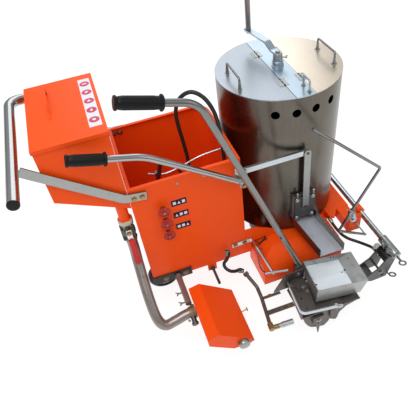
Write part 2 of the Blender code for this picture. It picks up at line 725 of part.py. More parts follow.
# ---------------------------------------------------------------- gate and its linkage
def gate_housing(machine):
    """Outlet body on the kettle, its sliding blade, and the plate bolted over the blade."""
    low, high, front = 0.372, 0.500, -0.2446
    def window(half, y0, y1, z0, z1):
        return block((GATE_X - half, y0, z0), (GATE_X + half, y1, z1))
    body = cut(
        block((-0.0460, front, low), (0.0510, -0.205, high)),
        rod((0, 0, low - 0.1), (0, 0, high + 0.1), TANK_R + GAP, 56),
        window(0.0335, front - 0.01, -0.2398, 0.388, 0.494),
        window(0.0260, front - 0.01, -0.2398, low - 0.01, 0.390),
        window(0.0260, -0.2410, -0.20, 0.392, 0.436),
    )
    piece("gate_housing", body, "dark_steel", machine)
    x, z = GATE_PIVOT
    plate = block((-0.0360, -0.2490, 0.368), (0.0500, front - GAP, 0.492))
    plate = cut(plate, window(0.020, -0.26, -0.24, 0.36, 0.379))
    plate = joined(plate, rod((x, -0.2480, z), (x, -0.2580, z), 0.0045, 12))
    piece("gate_plate", plate, "zinc", machine)
    body = empty("gate_blade_axis", (GATE_X, -0.2423, 0.430), machine)
    blade = window(0.0328, -0.2443, -0.2402, 0.3900, 0.4680)
    piece("gate_blade", blade, "stainless", body, (GATE_X, -0.2423, 0.430))


def flat_link(start, end, width, y0, y1, hole, boss_start=None):
    """A bar with round ends between two pin centres given as (x, z)."""
    angle = atan2(end[1] - start[1], end[0] - start[0]) * 180 / pi
    outline = arc(end, width / 2, angle - 90, angle + 90, 8)
    outline += arc(start, width / 2, angle + 90, angle + 270, 8)
    shape = prism(outline, "y", y0, y1)
    for centre in (start, end) if boss_start is None else (boss_start,):
        bore = rod((centre[0], y0 - 0.01, centre[1]), (centre[0], y1 + 0.01, centre[1]), hole, 12)
        shape = cut(shape, bore)
    return shape


def gate_lever(machine):
    x, z = GATE_PIVOT
    body = empty("gate_lever_axis", (x, 0, z), machine)
    bar = flat_link(GATE_PIVOT, LINK_FRONT, 0.027, -0.2565, -0.2520, 0.0049, GATE_PIVOT)
    pin = rod((LINK_FRONT[0], -0.2530, LINK_FRONT[1]), (LINK_FRONT[0], -0.2450, LINK_FRONT[1]), 0.0042, 12)
    piece("gate_lever", joined(bar, pin), "zinc", body, (x, 0, z))


def hand_lever(machine):
    """Hand lever of the gate, with its grip, and the link that it pulls."""
    x, z = HAND_PIVOT
    wall = BOX_X1 + GAP
    bracket = joined(
        block((wall, -0.2480, 0.638), (wall + 0.0035, -0.1900, 0.674)),
        block((-0.2600, -0.2480, 0.638), (wall + 0.002, -0.2446, 0.674)),
        rod((x, -0.2470, z), (x, -0.2612, z), 0.0050, 12),
    )
    piece("lever_bracket", bracket, "zinc", machine)
    body = empty("hand_lever_axis", (x, 0, z), machine)
    y = -0.2660
    tube = bent_tube([(-0.6780, y, 0.93372), (-0.570, y, 0.9045), (-0.256, y, 0.6800)], 0.0110, 0.200)
    outline = [
        (-0.2790, 0.7150), (-0.2580, 0.6720), (-0.2560, 0.6460), (-0.2370, 0.6460), (-0.2320, 0.6800),
        (-0.2320, 0.7160), (-0.2420, 0.7220), (-0.2620, 0.7350), (-0.2760, 0.7330),
    ]
    plate = prism(outline, "y", -0.2570, -0.2515)
    plate = cut(plate, rod((x, -0.27, z), (x, -0.24, z), 0.0054, 16))
    pin = rod((LINK_REAR[0], -0.2530, LINK_REAR[1]), (LINK_REAR[0], -0.2445, LINK_REAR[1]), 0.0042, 12)
    piece("hand_lever", joined(tube, plate, pin), "chrome", body, (x, 0, z))
    grip(body, "hand_lever_grip", (-0.7960, y, 0.9670), (-0.6790, y, 0.93400), (x, 0, z))
    link_body = empty("gate_link_axis", (LINK_REAR[0], 0, LINK_REAR[1]), body)
    link = flat_link(LINK_REAR, LINK_FRONT, 0.022, -0.2508, -0.2470, 0.0046)
    z = LINK_REAR[1]
    flange = block((LINK_REAR[0] + 0.004, -0.2508, z + 0.0085), (LINK_FRONT[0], -0.2400, z + 0.0110))
    wide = rod((LINK_FRONT[0], -0.26, LINK_FRONT[1]), (LINK_FRONT[0], -0.24, LINK_FRONT[1]), 0.0058, 16)
    link = cut(joined(link, flange), wide)      # room for the pin, whose path is not quite the link's
    piece("gate_link", link, "zinc", link_body, (LINK_REAR[0], 0, LINK_REAR[1]))


def grip(body, name, start, end, origin):
    """Rubber hand grip with a small flange at its outer end and a large one at its inner."""
    length = (Vector(end) - Vector(start)).length
    profile = [
        (0, 0), (0.0175, 0), (0.0200, 0.003), (0.0200, 0.007), (0.0165, 0.010), (0.0180, 0.016),
        (0.0180, length - 0.014), (0.0175, length - 0.010), (0.0230, length - 0.008),
        (0.0230, length - 0.003), (0.0190, length), (0, length),
    ]
    shape = turned(profile, (0, 0, 0), "z", 16)
    turn = (Vector(end) - Vector(start)).to_track_quat("Z", "Y").to_matrix()
    bmesh.ops.rotate(shape, verts=shape.verts, cent=(0, 0, 0), matrix=turn)
    bmesh.ops.translate(shape, verts=shape.verts, vec=start)
    piece(name, shape, "rubber", body, origin)


def trough(corners, height, wall):
    """Open-topped channel on four floor corners: rear left, rear right, front right, front left."""
    lift = Vector((0, 0, height))
    points = [Vector(p) for p in corners]
    outer = hexahedron(points, [p + lift for p in points])
    across_rear = (points[1] - points[0]).normalized() * wall
    across_front = (points[2] - points[3]).normalized() * wall
    along_left, along_right = points[3] - points[0], points[2] - points[1]
    floor = Vector((0, 0, wall))
    inner = [
        points[0] + across_rear - along_left + floor, points[1] - across_rear - along_right + floor,
        points[2] - across_front + along_right + floor, points[3] + across_front + along_left + floor,
    ]
    return cut(outer, hexahedron(inner, [p + lift * 2 for p in inner]))


def chute(machine):
    """Stainless trough that leads the paint from the gate into the shoe's hopper."""
    rear_y = -0.2350
    corners = [
        (-0.0515, rear_y, 0.360), (0.0560, rear_y, 0.352), (0.1030, -0.412, 0.296), (-0.0030, -0.412, 0.300),
    ]
    shape = trough(corners, 0.042, 0.0025)
    piece("chute", shape, "stainless", machine)


# ---------------------------------------------------------------- marking shoe
def shoe_point(across, along, height):
    """A point in the hopper's own tilted frame, measured from the middle of its rim."""
    side = Vector((cos(SHOE_TILT) * cos(SHOE_YAW), cos(SHOE_TILT) * sin(SHOE_YAW), -sin(SHOE_TILT)))
    back = Vector((-sin(SHOE_YAW), cos(SHOE_YAW), 0))
    return Vector(SHOE_RIM) + side * across + back * along + side.cross(back) * height


def shoe_level(x0, x1, y0, y1, height):
    return [shoe_point(x, y, height) for x, y in ((x0, y0), (x1, y0), (x1, y1), (x0, y1))]


def shoe_hull(grow, low=-0.080):
    """The hopper's tapered outside, grown by a clearance."""
    return hexahedron(
        shoe_level(-0.104 - grow, 0.092 + grow, -0.073 - grow, 0.060 + grow, low),
        shoe_level(-0.108 - grow, 0.108 + grow, -0.0765 - grow, 0.0765 + grow, 0.0),
    )


def shoe_hopper(body, origin):
    """Tapered hopper with a raised floor, a ramp on its right, and a sliding floor gate."""
    wall, floor = 0.0025, -0.022
    under = hexahedron(
        shoe_level(-0.104 + wall, 0.092 - wall, -0.073 + wall, 0.060 - wall, -0.090),
        shoe_level(-0.1065 + wall, 0.102 - wall, -0.0748 + wall, 0.068 - wall, floor - 0.0025),
    )
    above = hexahedron(
        shoe_level(-0.1062 + wall, 0.050, -0.0753 + wall, 0.0710 - wall, floor),
        shoe_level(-0.1085 + wall, 0.1085 - wall, -0.0770 + wall, 0.0770 - wall, 0.004),
    )
    opening = hexahedron(
        shoe_level(-0.090, 0.040, -0.066, -0.006, floor - 0.010),
        shoe_level(-0.090, 0.040, -0.066, -0.006, floor + 0.010),
    )
    shape = cut(shoe_hull(0), under, above, opening)
    piece("shoe_hopper", shape, "stainless", body, origin)
    gate_at = shoe_point(-0.025, -0.036, floor + 0.0015)
    gate_body = empty("shoe_gate_axis", local_to(body, gate_at), body)
    plate = hexahedron(
        shoe_level(-0.1015, 0.0480, -0.0718, 0.0015, floor + GAP),
        shoe_level(-0.1015, 0.0480, -0.0718, 0.0015, floor + 0.0025),
    )
    tab = hexahedron(
        shoe_level(0.026, 0.038, -0.0050, -0.0025, floor + 0.002),
        shoe_level(0.026, 0.038, -0.0050, -0.0025, floor + 0.014),
    )
    piece("shoe_gate", joined(plate, tab), "stainless", gate_body, gate_at)


def shoe_body(body, origin):
    """Steel foot under the hopper: heel, skirt, side plate, scraper tip and gusset."""
    heel = [
        (-0.143, 0.152), (-0.125, 0.093), (-0.110, 0.062), (-0.094, 0.043), (-0.062, 0.029), (-0.036, 0.022),
        (-0.018, 0.043), (-0.009, 0.070), (-0.003, 0.152),
    ]
    foot = cut(prism(heel, "y", -0.5480, -0.4100), block((-0.100, -0.530, -0.01), (-0.022, -0.428, 0.140)))
    plate = [(-0.150, -0.5580), (-0.137, -0.4060), (0.030, -0.3960), (0.030, -0.5580)]
    floor = prism(plate, "z", 0.1480, 0.1545)
    column = prism([(-0.062, -0.512), (0.105, -0.512), (0.105, -0.405), (-0.062, -0.405)], "z", 0.110, 0.200)
    column = cut(column, block((-0.052, -0.502, 0.10), (0.095, -0.415, 0.21)))
    opening = block((-0.052, -0.502, 0.13), (0.025, -0.415, 0.17))
    quadrant_edge = [
        (-0.1495, -0.5600), (-0.1365, -0.4080), (-0.106, -0.3960), (-0.066, -0.3960), (-0.066, -0.4400),
        (-0.086, -0.5600),
    ]
    quadrant = prism(quadrant_edge, "z", 0.1860, 0.1900)
    riser_edge = [(-0.1495, -0.5600), (-0.1365, -0.4080), (-0.1325, -0.4080), (-0.1455, -0.5600)]
    riser = prism(riser_edge, "z", 0.152, 0.187)
    skirt_edge = [
        (-0.022, 0.154), (-0.016, 0.075), (0.010, 0.058), (0.022, 0.105), (0.050, 0.134), (0.110, 0.154),
    ]
    skirt = prism(skirt_edge, "y", -0.5580, -0.5540)
    skirt_top = block((-0.022, -0.5580, 0.1490), (0.110, -0.5200, 0.1535))
    gusset_edge = [(-0.195, 0.148), (-0.146, 0.237), (-0.062, 0.243), (-0.062, 0.186), (-0.130, 0.148)]
    gusset = prism(gusset_edge, "y", -0.4000, -0.3945)
    holder = block((-0.098, -0.5660, 0.090), (-0.052, -0.5460, 0.135))
    tip = rod((-0.074, -0.5570, 0.095), (-0.067, -0.5570, 0.0006), 0.0120, 8, 0.0020)
    shape = joined(foot, floor, column, riser, quadrant, skirt_top, skirt, gusset, holder, tip)
    shape = cut(shape, opening, shoe_hull(GAP))
    for x, y in ((-0.1160, -0.4400), (-0.1190, -0.4940), (-0.1200, -0.5420)):
        shape = cut(shape, rod((x, y, 0.17), (x, y, 0.20), 0.0040, 10))
    piece("shoe_body", shape, "dark_steel", body, origin)


def shoe_strap(body, origin):
    """Zinc flat bar wrapped round the foot's rear and near side."""
    route = [(-0.1395, -0.4060, 0.200), (-0.1530, -0.5640, 0.200), (0.0060, -0.5850, 0.200)]
    shape = swept(rounded(route, 0.020, 5), rectangle(0.0045, 0.017))
    piece("shoe_strap", shape, "zinc", body, origin)


def shoe_carrier(body, origin):
    """Sleeve on the lateral bar with the two cheeks that hold the hopper."""
    sleeve = rod((BAR_X, -0.522, BAR_Z), (BAR_X, -0.425, BAR_Z), 0.0195, 20)
    cheek = [
        (0.236, 0.312), (0.270, 0.292), (0.262, 0.262), (0.243, 0.188), (0.180, 0.184), (0.150, 0.196),
        (0.150, 0.222), (0.196, 0.252),
    ]
    parts = [prism(cheek, "y", y, y + 0.0045) for y in (-0.5215, -0.4620)]
    parts.append(block((0.150, -0.5190, 0.188), (0.186, -0.4590, 0.2180)))
    parts.append(block((0.238, -0.5190, 0.252), (0.262, -0.4590, 0.2930)))
    shape = joined(sleeve, *parts)
    shape = cut(shape, rod((BAR_X, -0.6, BAR_Z), (BAR_X, -0.3, BAR_Z), BAR_R + GAP, 20), shoe_hull(GAP))
    piece("shoe_carrier", shape, "dark_steel", body, origin)
    lock_at = (BAR_X, -0.5305, BAR_Z)
    lock_body = empty("carrier_eyebolt_axis", local_to(body, lock_at), body)
    eye = turned(ring_profile(0.0120, 0.0036), (0, 0, 0), "z", 16)
    bmesh.ops.translate(eye, verts=eye.verts, vec=(BAR_X, -0.5620, BAR_Z))
    shank = rod((BAR_X, -0.5305, BAR_Z), (BAR_X, -0.5510, BAR_Z), 0.0045, 10)
    piece("carrier_eyebolt", joined(shank, eye), "zinc", lock_body, lock_at)


def shoe_lever(body, origin):
    """Long lever from the foot's gusset up to the operator's hand."""
    y = -0.3830
    route = [(-0.4940, y, 1.1420), (-0.4042, y, 1.1160), (-0.0732, y, 0.2500)]
    tube = bent_tube(route, 0.0110, 0.085, steps=6)
    lug = block((-0.098, -0.3942, 0.196), (-0.0645, -0.3700, 0.262))
    piece("shoe_lever", joined(tube, lug), "zinc", body, origin)
    grip(body, "shoe_lever_grip", (-0.6200, y, 1.1784), (-0.4950, y, 1.14233), origin)


def gas_manifold(body, origin):
    """Rigid gas pipe along the shoe, its two flats and the nozzle at its end."""
    route = [
        (-0.288, -0.338, 0.243), (-0.264, -0.385, 0.207), (-0.266, -0.440, 0.200), (-0.284, -0.566, 0.200),
    ]
    pipe = bent_tube(route, 0.0075, 0.022, 10, 3)
    nut = rod((-0.2925, -0.3292, 0.2495), (-0.2855, -0.3425, 0.2385), 0.0125, 6)
    elbow = rod((-0.286, -0.575, 0.200), (-0.252, -0.5775, 0.200), 0.0095, 10)
    nozzle = rod((-0.254, -0.5775, 0.200), (-0.196, -0.5795, 0.200), 0.0125, 10)
    corner = rod((-0.2825, -0.555, 0.200), (-0.2845, -0.584, 0.200), 0.0110, 10)
    flats = []
    for middle, half, x_end in ((-0.4400, 0.006, -0.1860), (-0.5100, 0.010, -0.1600)):
        flats.append(block((-0.272, middle - half, 0.1975), (x_end, middle + half, 0.2015)))
    shape = joined(pipe, nut, elbow, corner, nozzle, *flats)
    bore = rod((-0.230, -0.5785, 0.200), (-0.19, -0.5797, 0.200), 0.0090, 10)
    piece("gas_manifold", cut(shape, bore), "dark_steel", body, origin)


def marking_shoe(machine):
    origin = (BAR_X, 0, BAR_Z)
    body = empty("shoe_lift_axis", origin, machine)
    shoe_hopper(body, origin)
    shoe_body(body, origin)
    shoe_strap(body, origin)
    shoe_carrier(body, origin)
    shoe_lever(body, origin)
    gas_manifold(body, origin)


def rest_bracket(machine):
    """Z-shaped flat bar on the near rail whose cross rod stops the lifted shoe."""
    face = -0.2228
    route = [(-0.304, face - 0.002, 0.308), (-0.217, face - 0.002, 0.312), (-0.205, -0.4180, 0.310)]
    bar = swept(rounded(route, 0.010, 4), rectangle(0.004, 0.020))
    cross = rod((-0.237, -0.4120, 0.3160), (-0.150, -0.4300, 0.3160), 0.0045, 10)
    piece("rest_bracket", joined(bar, cross), "zinc", machine)


# ---------------------------------------------------------------- guide pointer
POINTER_PIVOT = (0.205, 0.325)
POINTER_LOW, POINTER_BEND = (0.1365, -0.3140, 0.295), (0.281, -0.3140, 0.587)


def pointer(machine):
    """Bent aiming rod on a clamp that turns about a bolt in the front beam's lug."""
    low, bend = Vector(POINTER_LOW), Vector(POINTER_BEND)
    tip, foot = Vector((-0.017, -0.3140, 0.862)), Vector((0.274, -0.3140, 0.212))
    pivot = (POINTER_PIVOT[0], -0.3025, POINTER_PIVOT[1])
    body = empty("pointer_axis", pivot, machine)
    main = swept(rounded([tip, bend, low, foot], 0.012, 5), circle(0.0058, 10), (0, 1, 0))
    stay = rod(foot + Vector((0.002, 0, -0.004)), (0.2140, -0.3140, 0.3130), 0.0035, 8)
    piece("pointer_rod", joined(main, stay), "zinc", body, pivot)
    direction = (bend - low).normalized()
    middle = low + direction * 0.105
    saddle = rod(middle - direction * 0.012, middle + direction * 0.012, 0.0105, 14)
    outline = [
        (0.178, 0.380), (0.196, 0.409), (0.214, 0.350), (0.216, 0.318), (0.196, 0.313), (0.188, 0.330),
    ]
    plate = prism(outline, "y", -0.3085, -0.3025)
    clear = rod(low - direction * 0.02, bend + direction * 0.02, 0.0063, 16)
    pin = rod((pivot[0], -0.3040, pivot[2]), (pivot[0], -0.2900, pivot[2]), 0.0042, 12)
    shape = joined(cut(joined(saddle, plate), clear), pin)
    piece("pointer_clamp", shape, "dark_steel", body, pivot)


# ---------------------------------------------------------------- wheels
def front_wheel(machine, name, side):
    x, half_track, radius = FRONT_WHEEL
    width = 0.050
    centre = (x, side * half_track, radius)
    body = empty(name + "_axis", centre, machine)
    half = width / 2
    tread = [
        (0.0105, -half * 0.95), (0.028, -half * 0.95), (0.030, -half * 0.30), (0.074, -half * 0.30),
        (0.078, -half * 0.85), (radius - 0.014, -half), (radius, -half * 0.55), (radius, half * 0.55),
        (radius - 0.014, half), (0.078, half * 0.85), (0.074, half * 0.30), (0.030, half * 0.30),
        (0.028, half * 0.95), (0.0105, half * 0.95),
    ]
    piece(name, turned(tread, centre, "y", 26), "rubber", body, centre)


def front_axle(machine):
    x, _, z = FRONT_WHEEL
    axle = rod((x, -0.300, z), (x, 0.300, z), 0.0100, 20)
    collars = []
    for side in (-1, 1):
        y = sorted((side * 0.296, side * 0.303))
        collars.append(rod((x, y[0], z), (x, y[1], z), 0.0150, 6))
    piece("front_axle", joined(axle, *collars), "zinc", machine)


def caster(machine):
    x, y, trail, radius = CASTER
    body = empty("caster_axis", (x, y, 0.220), machine)
    top = 0.2347
    disc_shape = turned(disc(0.040, 0.014), (x, y, top - 0.014), "z", 24)
    crown = block((x - trail - 0.030, y - 0.0340, 0.208), (x + 0.030, y + 0.0340, top - 0.010))
    legs = []
    for side in (-1, 1):
        span = sorted((y + side * 0.0290, y + side * 0.0340))
        hub_x = x - trail
        outline = [(hub_x - 0.018, 0.058), (hub_x + 0.018, 0.058), (x + 0.030, 0.212), (hub_x - 0.030, 0.212)]
        legs.append(prism(outline, "y", *span))
    pin = rod((x - trail, y - 0.038, radius), (x - trail, y + 0.038, radius), 0.0080, 16)
    piece("caster_fork", joined(disc_shape, crown, *legs, pin), "zinc", body, (x, y, 0.220))
    centre = (x - trail, y, radius)
    wheel_body = empty("caster_wheel_axis", local_to(body, centre), body)
    half = 0.023
    tread = [
        (0.0085, -half * 1.1), (0.020, -half * 1.1), (0.022, -half * 0.30), (0.044, -half * 0.30),
        (0.048, -half * 0.85), (radius - 0.010, -half), (radius, -half * 0.50), (radius, half * 0.50),
        (radius - 0.010, half), (0.048, half * 0.85), (0.044, half * 0.30), (0.022, half * 0.30),
        (0.020, half * 1.1), (0.0085, half * 1.1),
    ]
    piece("caster_wheel", turned(tread, centre, "y", 24), "rubber", wheel_body, centre)


# ---------------------------------------------------------------- gas fittings
def knob_places():
    return [(1, 0.630), (2, 0.570), (3, 0.508)]


def gas_valves(machine):
    """Valve rail behind the near wall, and one red handwheel for each valve."""
    x, y = -0.547, -0.190
    spigots = [rod((x, y, z), (x, -0.2330, z), 0.0080, 12) for _, z in knob_places()]
    rail = joined(rod((x, y, 0.470), (x, y, 0.668), 0.0100, 12), *spigots)
    for _, z in knob_places():
        rail = cut(rail, rod((x, -0.2150, z), (x, -0.2400, z), 0.0045, 12))
    piece("gas_valve_rail", rail, "brass", machine)
    for number, z in knob_places():
        centre = (x, -0.2450, z)
        body = empty(f"gas_knob_{number}_axis", centre, machine)
        rim = turned(ring_profile(0.0195, 0.0036, 6), (x, -0.2480, z), "y", 14)
        web = turned(disc(0.0190, 0.0024), (x, -0.2492, z), "y", 14)
        hub = rod((x, -0.2535, z), (x, -0.2400, z), 0.0055, 10)
        stem = rod((x, -0.2410, z), (x, -0.2180, z), 0.0040, 10)
        piece(f"gas_knob_{number}", joined(rim, web, hub, stem), "red", body, centre)


def torch(machine):
    """Hand torch stored in the gas box: a dark stem with its thin gas tube."""
    stem = rod((-0.618, -0.030, BOX_Z0 + SHEET + 0.0040), (-0.500, -0.070, 0.715), 0.0085, 12)
    tube = swept(smooth_route([(-0.556, -0.062, 0.668), (-0.500, -0.066, 0.6500), (-0.438, -0.068, 0.660),
                               (-0.350, -0.074, 0.690), (-0.2500, -0.078, 0.700)], 0.030), circle(0.0035, 8))
    saddle = block((-0.535, -0.0790, 0.640), (-0.500, -0.0500, 0.672))
    valve = rod((-0.442, -0.068, 0.665), (-0.432, -0.070, 0.628), 0.0045, 8)
    clip = block((-0.2558, -0.0860, 0.692), (-0.2458, -0.0700, 0.708))
    piece("torch", joined(stem, saddle, tube, valve, clip), "dark_steel", machine)


CYLINDER_HOSE = [
    (-0.384, 0.000, 0.560), (-0.384, 0.000, 0.600), (-0.386, 0.000, 0.660), (-0.392, 0.000, 0.730),
    (-0.399, 0.000, 0.800), (-0.399, -0.004, 0.865), (-0.378, -0.012, 0.915), (-0.340, -0.030, 0.938),
    (-0.303, -0.055, 0.918),
    (-0.280, -0.080, 0.870), (-0.270, -0.095, 0.805), (-0.268, -0.104, 0.735), (-0.268, -0.110, 0.660),
    (-0.268, -0.112, 0.620),
]
HEATER_HOSE = [
    (0.1500, -0.2140, 0.272), (0.1510, -0.2300, 0.264), (0.1600, -0.2580, 0.246), (0.1740, -0.2860, 0.228),
    (0.1930, -0.3080, 0.216), (0.2160, -0.3320, 0.2130), (0.2350, -0.3620, 0.218), (0.2440, -0.3980, 0.234),
    (0.2400, -0.4240, 0.2500), (0.2360, -0.4440, 0.2640),
]
SHOE_HOSE = [
    (-0.3310, -0.2350, 0.305), (-0.3290, -0.2470, 0.293), (-0.3400, -0.2520, 0.272),
    (-0.3560, -0.2570, 0.256), (-0.3560, -0.2720, 0.244), (-0.3420, -0.2920, 0.240),
    (-0.3240, -0.3080, 0.250), (-0.3080, -0.3160, 0.262), (-0.2960, -0.3235, 0.2560),
]


def hoses(machine):
    hose("cylinder_hose", CYLINDER_HOSE, 0.015, "rubber", machine)
    hose("heater_hose", HEATER_HOSE, 0.013, "rubber", machine)
    hose("shoe_hose", SHOE_HOSE, 0.014, "rubber", machine)


def build():
    clear_scene()
    machine = empty("machine", (-CENTRE_X, -CENTRE_Y, 0))
    chassis_frame(machine)
    wheel_housing(machine, "wheel_housing_near", -1)
    wheel_housing(machine, "wheel_housing_far", 1)
    lateral_bar(machine)
    gas_box(machine)
    bead_box(machine)
    bead_lid(machine)
    bead_outlet(machine)
    bead_valve(machine)
    bead_feed_pipe(machine)
    bead_spreader(machine)
    spreader_bracket(machine)
    push_bar(machine)
    push_bar_strap(machine)
    tank_shell(machine)
    tank_pot(machine)
    burner(machine)
    lid_strip(machine)
    half_lid(machine, "lid_rear", -1)
    half_lid(machine, "lid_front", 1)
    stirrer(machine)
    gate_housing(machine)
    gate_lever(machine)
    hand_lever(machine)
    chute(machine)
    marking_shoe(machine)
    rest_bracket(machine)
    pointer(machine)
    front_axle(machine)
    front_wheel(machine, "front_wheel_near", -1)
    front_wheel(machine, "front_wheel_far", 1)
    caster(machine)
    gas_valves(machine)
    torch(machine)
    hoses(machine)


build()
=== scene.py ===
"""Looks of the line striping machine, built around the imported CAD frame.

Lengths are metres. Places are measured from the kettle's axis on the ground, which is read
from the frame; show() moves each finished mesh from there to the frame's own origin.
"""

import json
from math import atan2, cos, degrees, pi, radians, sin, sqrt

import bmesh
import bpy
from mathutils import Matrix, Vector

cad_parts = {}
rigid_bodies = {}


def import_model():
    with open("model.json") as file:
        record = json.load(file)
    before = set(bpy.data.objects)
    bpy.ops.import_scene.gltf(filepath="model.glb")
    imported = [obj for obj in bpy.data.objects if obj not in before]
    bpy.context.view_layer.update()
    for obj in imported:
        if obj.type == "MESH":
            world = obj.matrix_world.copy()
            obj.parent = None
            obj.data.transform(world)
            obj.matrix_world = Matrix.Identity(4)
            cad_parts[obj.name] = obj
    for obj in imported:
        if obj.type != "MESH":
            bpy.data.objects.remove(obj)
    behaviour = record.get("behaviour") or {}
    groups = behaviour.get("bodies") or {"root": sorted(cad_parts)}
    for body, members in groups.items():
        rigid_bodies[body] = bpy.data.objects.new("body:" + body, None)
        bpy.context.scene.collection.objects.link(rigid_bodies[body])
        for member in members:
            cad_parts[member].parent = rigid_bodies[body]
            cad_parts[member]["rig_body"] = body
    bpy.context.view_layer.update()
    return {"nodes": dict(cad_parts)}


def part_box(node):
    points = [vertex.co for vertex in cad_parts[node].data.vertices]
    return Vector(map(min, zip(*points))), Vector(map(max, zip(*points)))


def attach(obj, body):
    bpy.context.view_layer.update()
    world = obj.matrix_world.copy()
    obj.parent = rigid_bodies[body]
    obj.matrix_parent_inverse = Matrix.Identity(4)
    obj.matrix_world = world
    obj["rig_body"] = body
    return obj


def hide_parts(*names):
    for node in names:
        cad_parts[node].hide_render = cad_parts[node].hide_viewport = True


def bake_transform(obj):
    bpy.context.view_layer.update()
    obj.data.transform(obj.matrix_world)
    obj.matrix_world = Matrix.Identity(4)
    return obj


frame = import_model()
NODES = frame["nodes"]

SHELL_LOW, SHELL_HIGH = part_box("tank_shell")
KETTLE = Vector(((SHELL_LOW.x + SHELL_HIGH.x) / 2, (SHELL_LOW.y + SHELL_HIGH.y) / 2, 0))


def corner(node, high):
    """A node's lowest or highest corner, seen from the kettle's axis."""
    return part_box(node)[1 if high else 0] - KETTLE


TANK_Z0, TANK_Z1 = SHELL_LOW.z, SHELL_HIGH.z
TANK_R = (SHELL_HIGH.x - SHELL_LOW.x) / 2
BOX_LOW, BOX_HIGH = corner("gas_box", False), corner("gas_box", True)
UP, NEAR, FAR = (0, 0, 1), (0, -1, 0), (0, 1, 0)


# ---------------------------------------------------------------- shapes
def block(low, high):
    shape = bmesh.new()
    size = [b - a for a, b in zip(low, high)]
    middle = [(a + b) / 2 for a, b in zip(low, high)]
    matrix = Matrix.Translation(middle) @ Matrix.Diagonal((*size, 1.0))
    bmesh.ops.create_cube(shape, size=1.0, matrix=matrix)
    return shape


def closed(shape):
    bmesh.ops.recalc_face_normals(shape, faces=shape.faces)
    return shape


def loft(low_ring, high_ring, folded=False):
    """Joins two rings of points into a solid; folded ends crease from the first to the third."""
    shape = bmesh.new()
    rings = [[shape.verts.new(point) for point in ring] for ring in (low_ring, high_ring)]
    for ring in rings:
        for end in (ring[:3], (ring[0], ring[2], ring[3])) if folded else (ring,):
            shape.faces.new(end)
    for i in range(len(low_ring)):
        j = (i + 1) % len(low_ring)
        shape.faces.new((rings[0][i], rings[0][j], rings[1][j], rings[1][i]))
    return closed(shape)


def moved(shape, place):
    bmesh.ops.translate(shape, verts=shape.verts, vec=place)
    return shape


def bevelled(shape, offset, segments):
    bmesh.ops.bevel(shape, geom=shape.edges[:], offset=offset, segments=segments, affect="EDGES")
    return shape


def prism(outline, axis, low, high):
    """Extrudes a closed outline of two coordinates along the third axis."""
    at = "xyz".index(axis)
    return loft(*([(*pair[:at], depth, *pair[at:]) for pair in outline] for depth in (low, high)))


def turned(profile, sides=48, lobes=0, depth=0.0):
    """Spins an open profile of (radius, height), on the axis at both ends, about +Z."""
    shape = bmesh.new()
    rings = []
    for radius, height in profile:
        if radius == 0:
            rings.append([shape.verts.new((0, 0, height))])
            continue
        ring = []
        for i in range(sides):
            angle = 2 * pi * i / sides
            reach = radius * (1 + depth * cos(lobes * angle))
            ring.append(shape.verts.new((reach * cos(angle), reach * sin(angle), height)))
        rings.append(ring)
    for one, two in zip(rings, rings[1:]):
        for i in range(sides):
            j = (i + 1) % sides
            around = [one[i % len(one)], one[j % len(one)], two[j % len(two)], two[i % len(two)]]
            corners = [v for k, v in enumerate(around) if v not in around[:k]]
            if len(corners) > 2:
                shape.faces.new(corners)
    return closed(shape)


def hollow(profile, sides=48):
    """Spins a closed profile that stays off the axis, such as a tube's wall."""
    shape = bmesh.new()
    rings = []
    for i in range(sides):
        angle = 2 * pi * i / sides
        rings.append([shape.verts.new((r * cos(angle), r * sin(angle), z)) for r, z in profile])
    for i in range(sides):
        one, two = rings[i], rings[(i + 1) % sides]
        for k in range(len(profile)):
            j = (k + 1) % len(profile)
            shape.faces.new((one[k], one[j], two[j], two[k]))
    return closed(shape)


def aimed(shape, place, direction):
    """Turns a shape drawn along +Z towards a direction and puts its foot at a place."""
    turn = Vector(direction).to_track_quat("Z", "Y").to_matrix().to_4x4()
    bmesh.ops.transform(shape, matrix=Matrix.Translation(place) @ turn, verts=shape.verts)
    return shape


def rod(start, end, radius, sides=28, chamfer=0.0006):
    length = (Vector(end) - Vector(start)).length
    profile = [(0, 0), (radius - chamfer, 0), (radius, chamfer), (radius, length - chamfer),
        (radius - chamfer, length), (0, length)]
    return aimed(turned(profile, sides), start, Vector(end) - Vector(start))


def torus(place, direction, radius, thickness, sides=36, around=14):
    ring = [(radius + a, b) for a, b in circle(thickness, around)]
    return aimed(hollow(ring, sides), place, direction)


def rounded(points, radius, steps=12):
    """Replaces each inner corner of a route by an arc of the given radius."""
    route = [Vector(p) for p in points]
    smooth = [route[0]]
    for before, bend, after in zip(route, route[1:], route[2:]):
        back, ahead = (before - bend).normalized(), (after - bend).normalized()
        half = back.angle(ahead) / 2
        reach = radius * cos(half) / sin(half)
        centre = bend + (back + ahead).normalized() * (radius / sin(half))
        first = (bend + back * reach - centre).normalized()
        last = (bend + ahead * reach - centre).normalized()
        smooth += [centre + first.slerp(last, i / steps) * radius for i in range(steps + 1)]
    smooth.append(route[-1])
    return smooth


def swept(points, outline, up=UP):
    """Carries an outline of (side, up) offsets along a route, with flat ends."""
    shape = bmesh.new()
    rings = []
    points = [Vector(p) for p in points]
    side = None
    for i, point in enumerate(points):
        along = (points[min(i + 1, len(points) - 1)] - points[max(i - 1, 0)]).normalized()
        side = along.cross(Vector(up)) if side is None else side - along * side.dot(along)
        side.normalize()
        top = side.cross(along)
        rings.append([shape.verts.new(point + side * a + top * b) for a, b in outline])
    for one, two in zip(rings, rings[1:]):
        for i in range(len(outline)):
            j = (i + 1) % len(outline)
            shape.faces.new((one[i], one[j], two[j], two[i]))
    shape.faces.new(rings[0])
    shape.faces.new(rings[-1])
    return closed(shape)


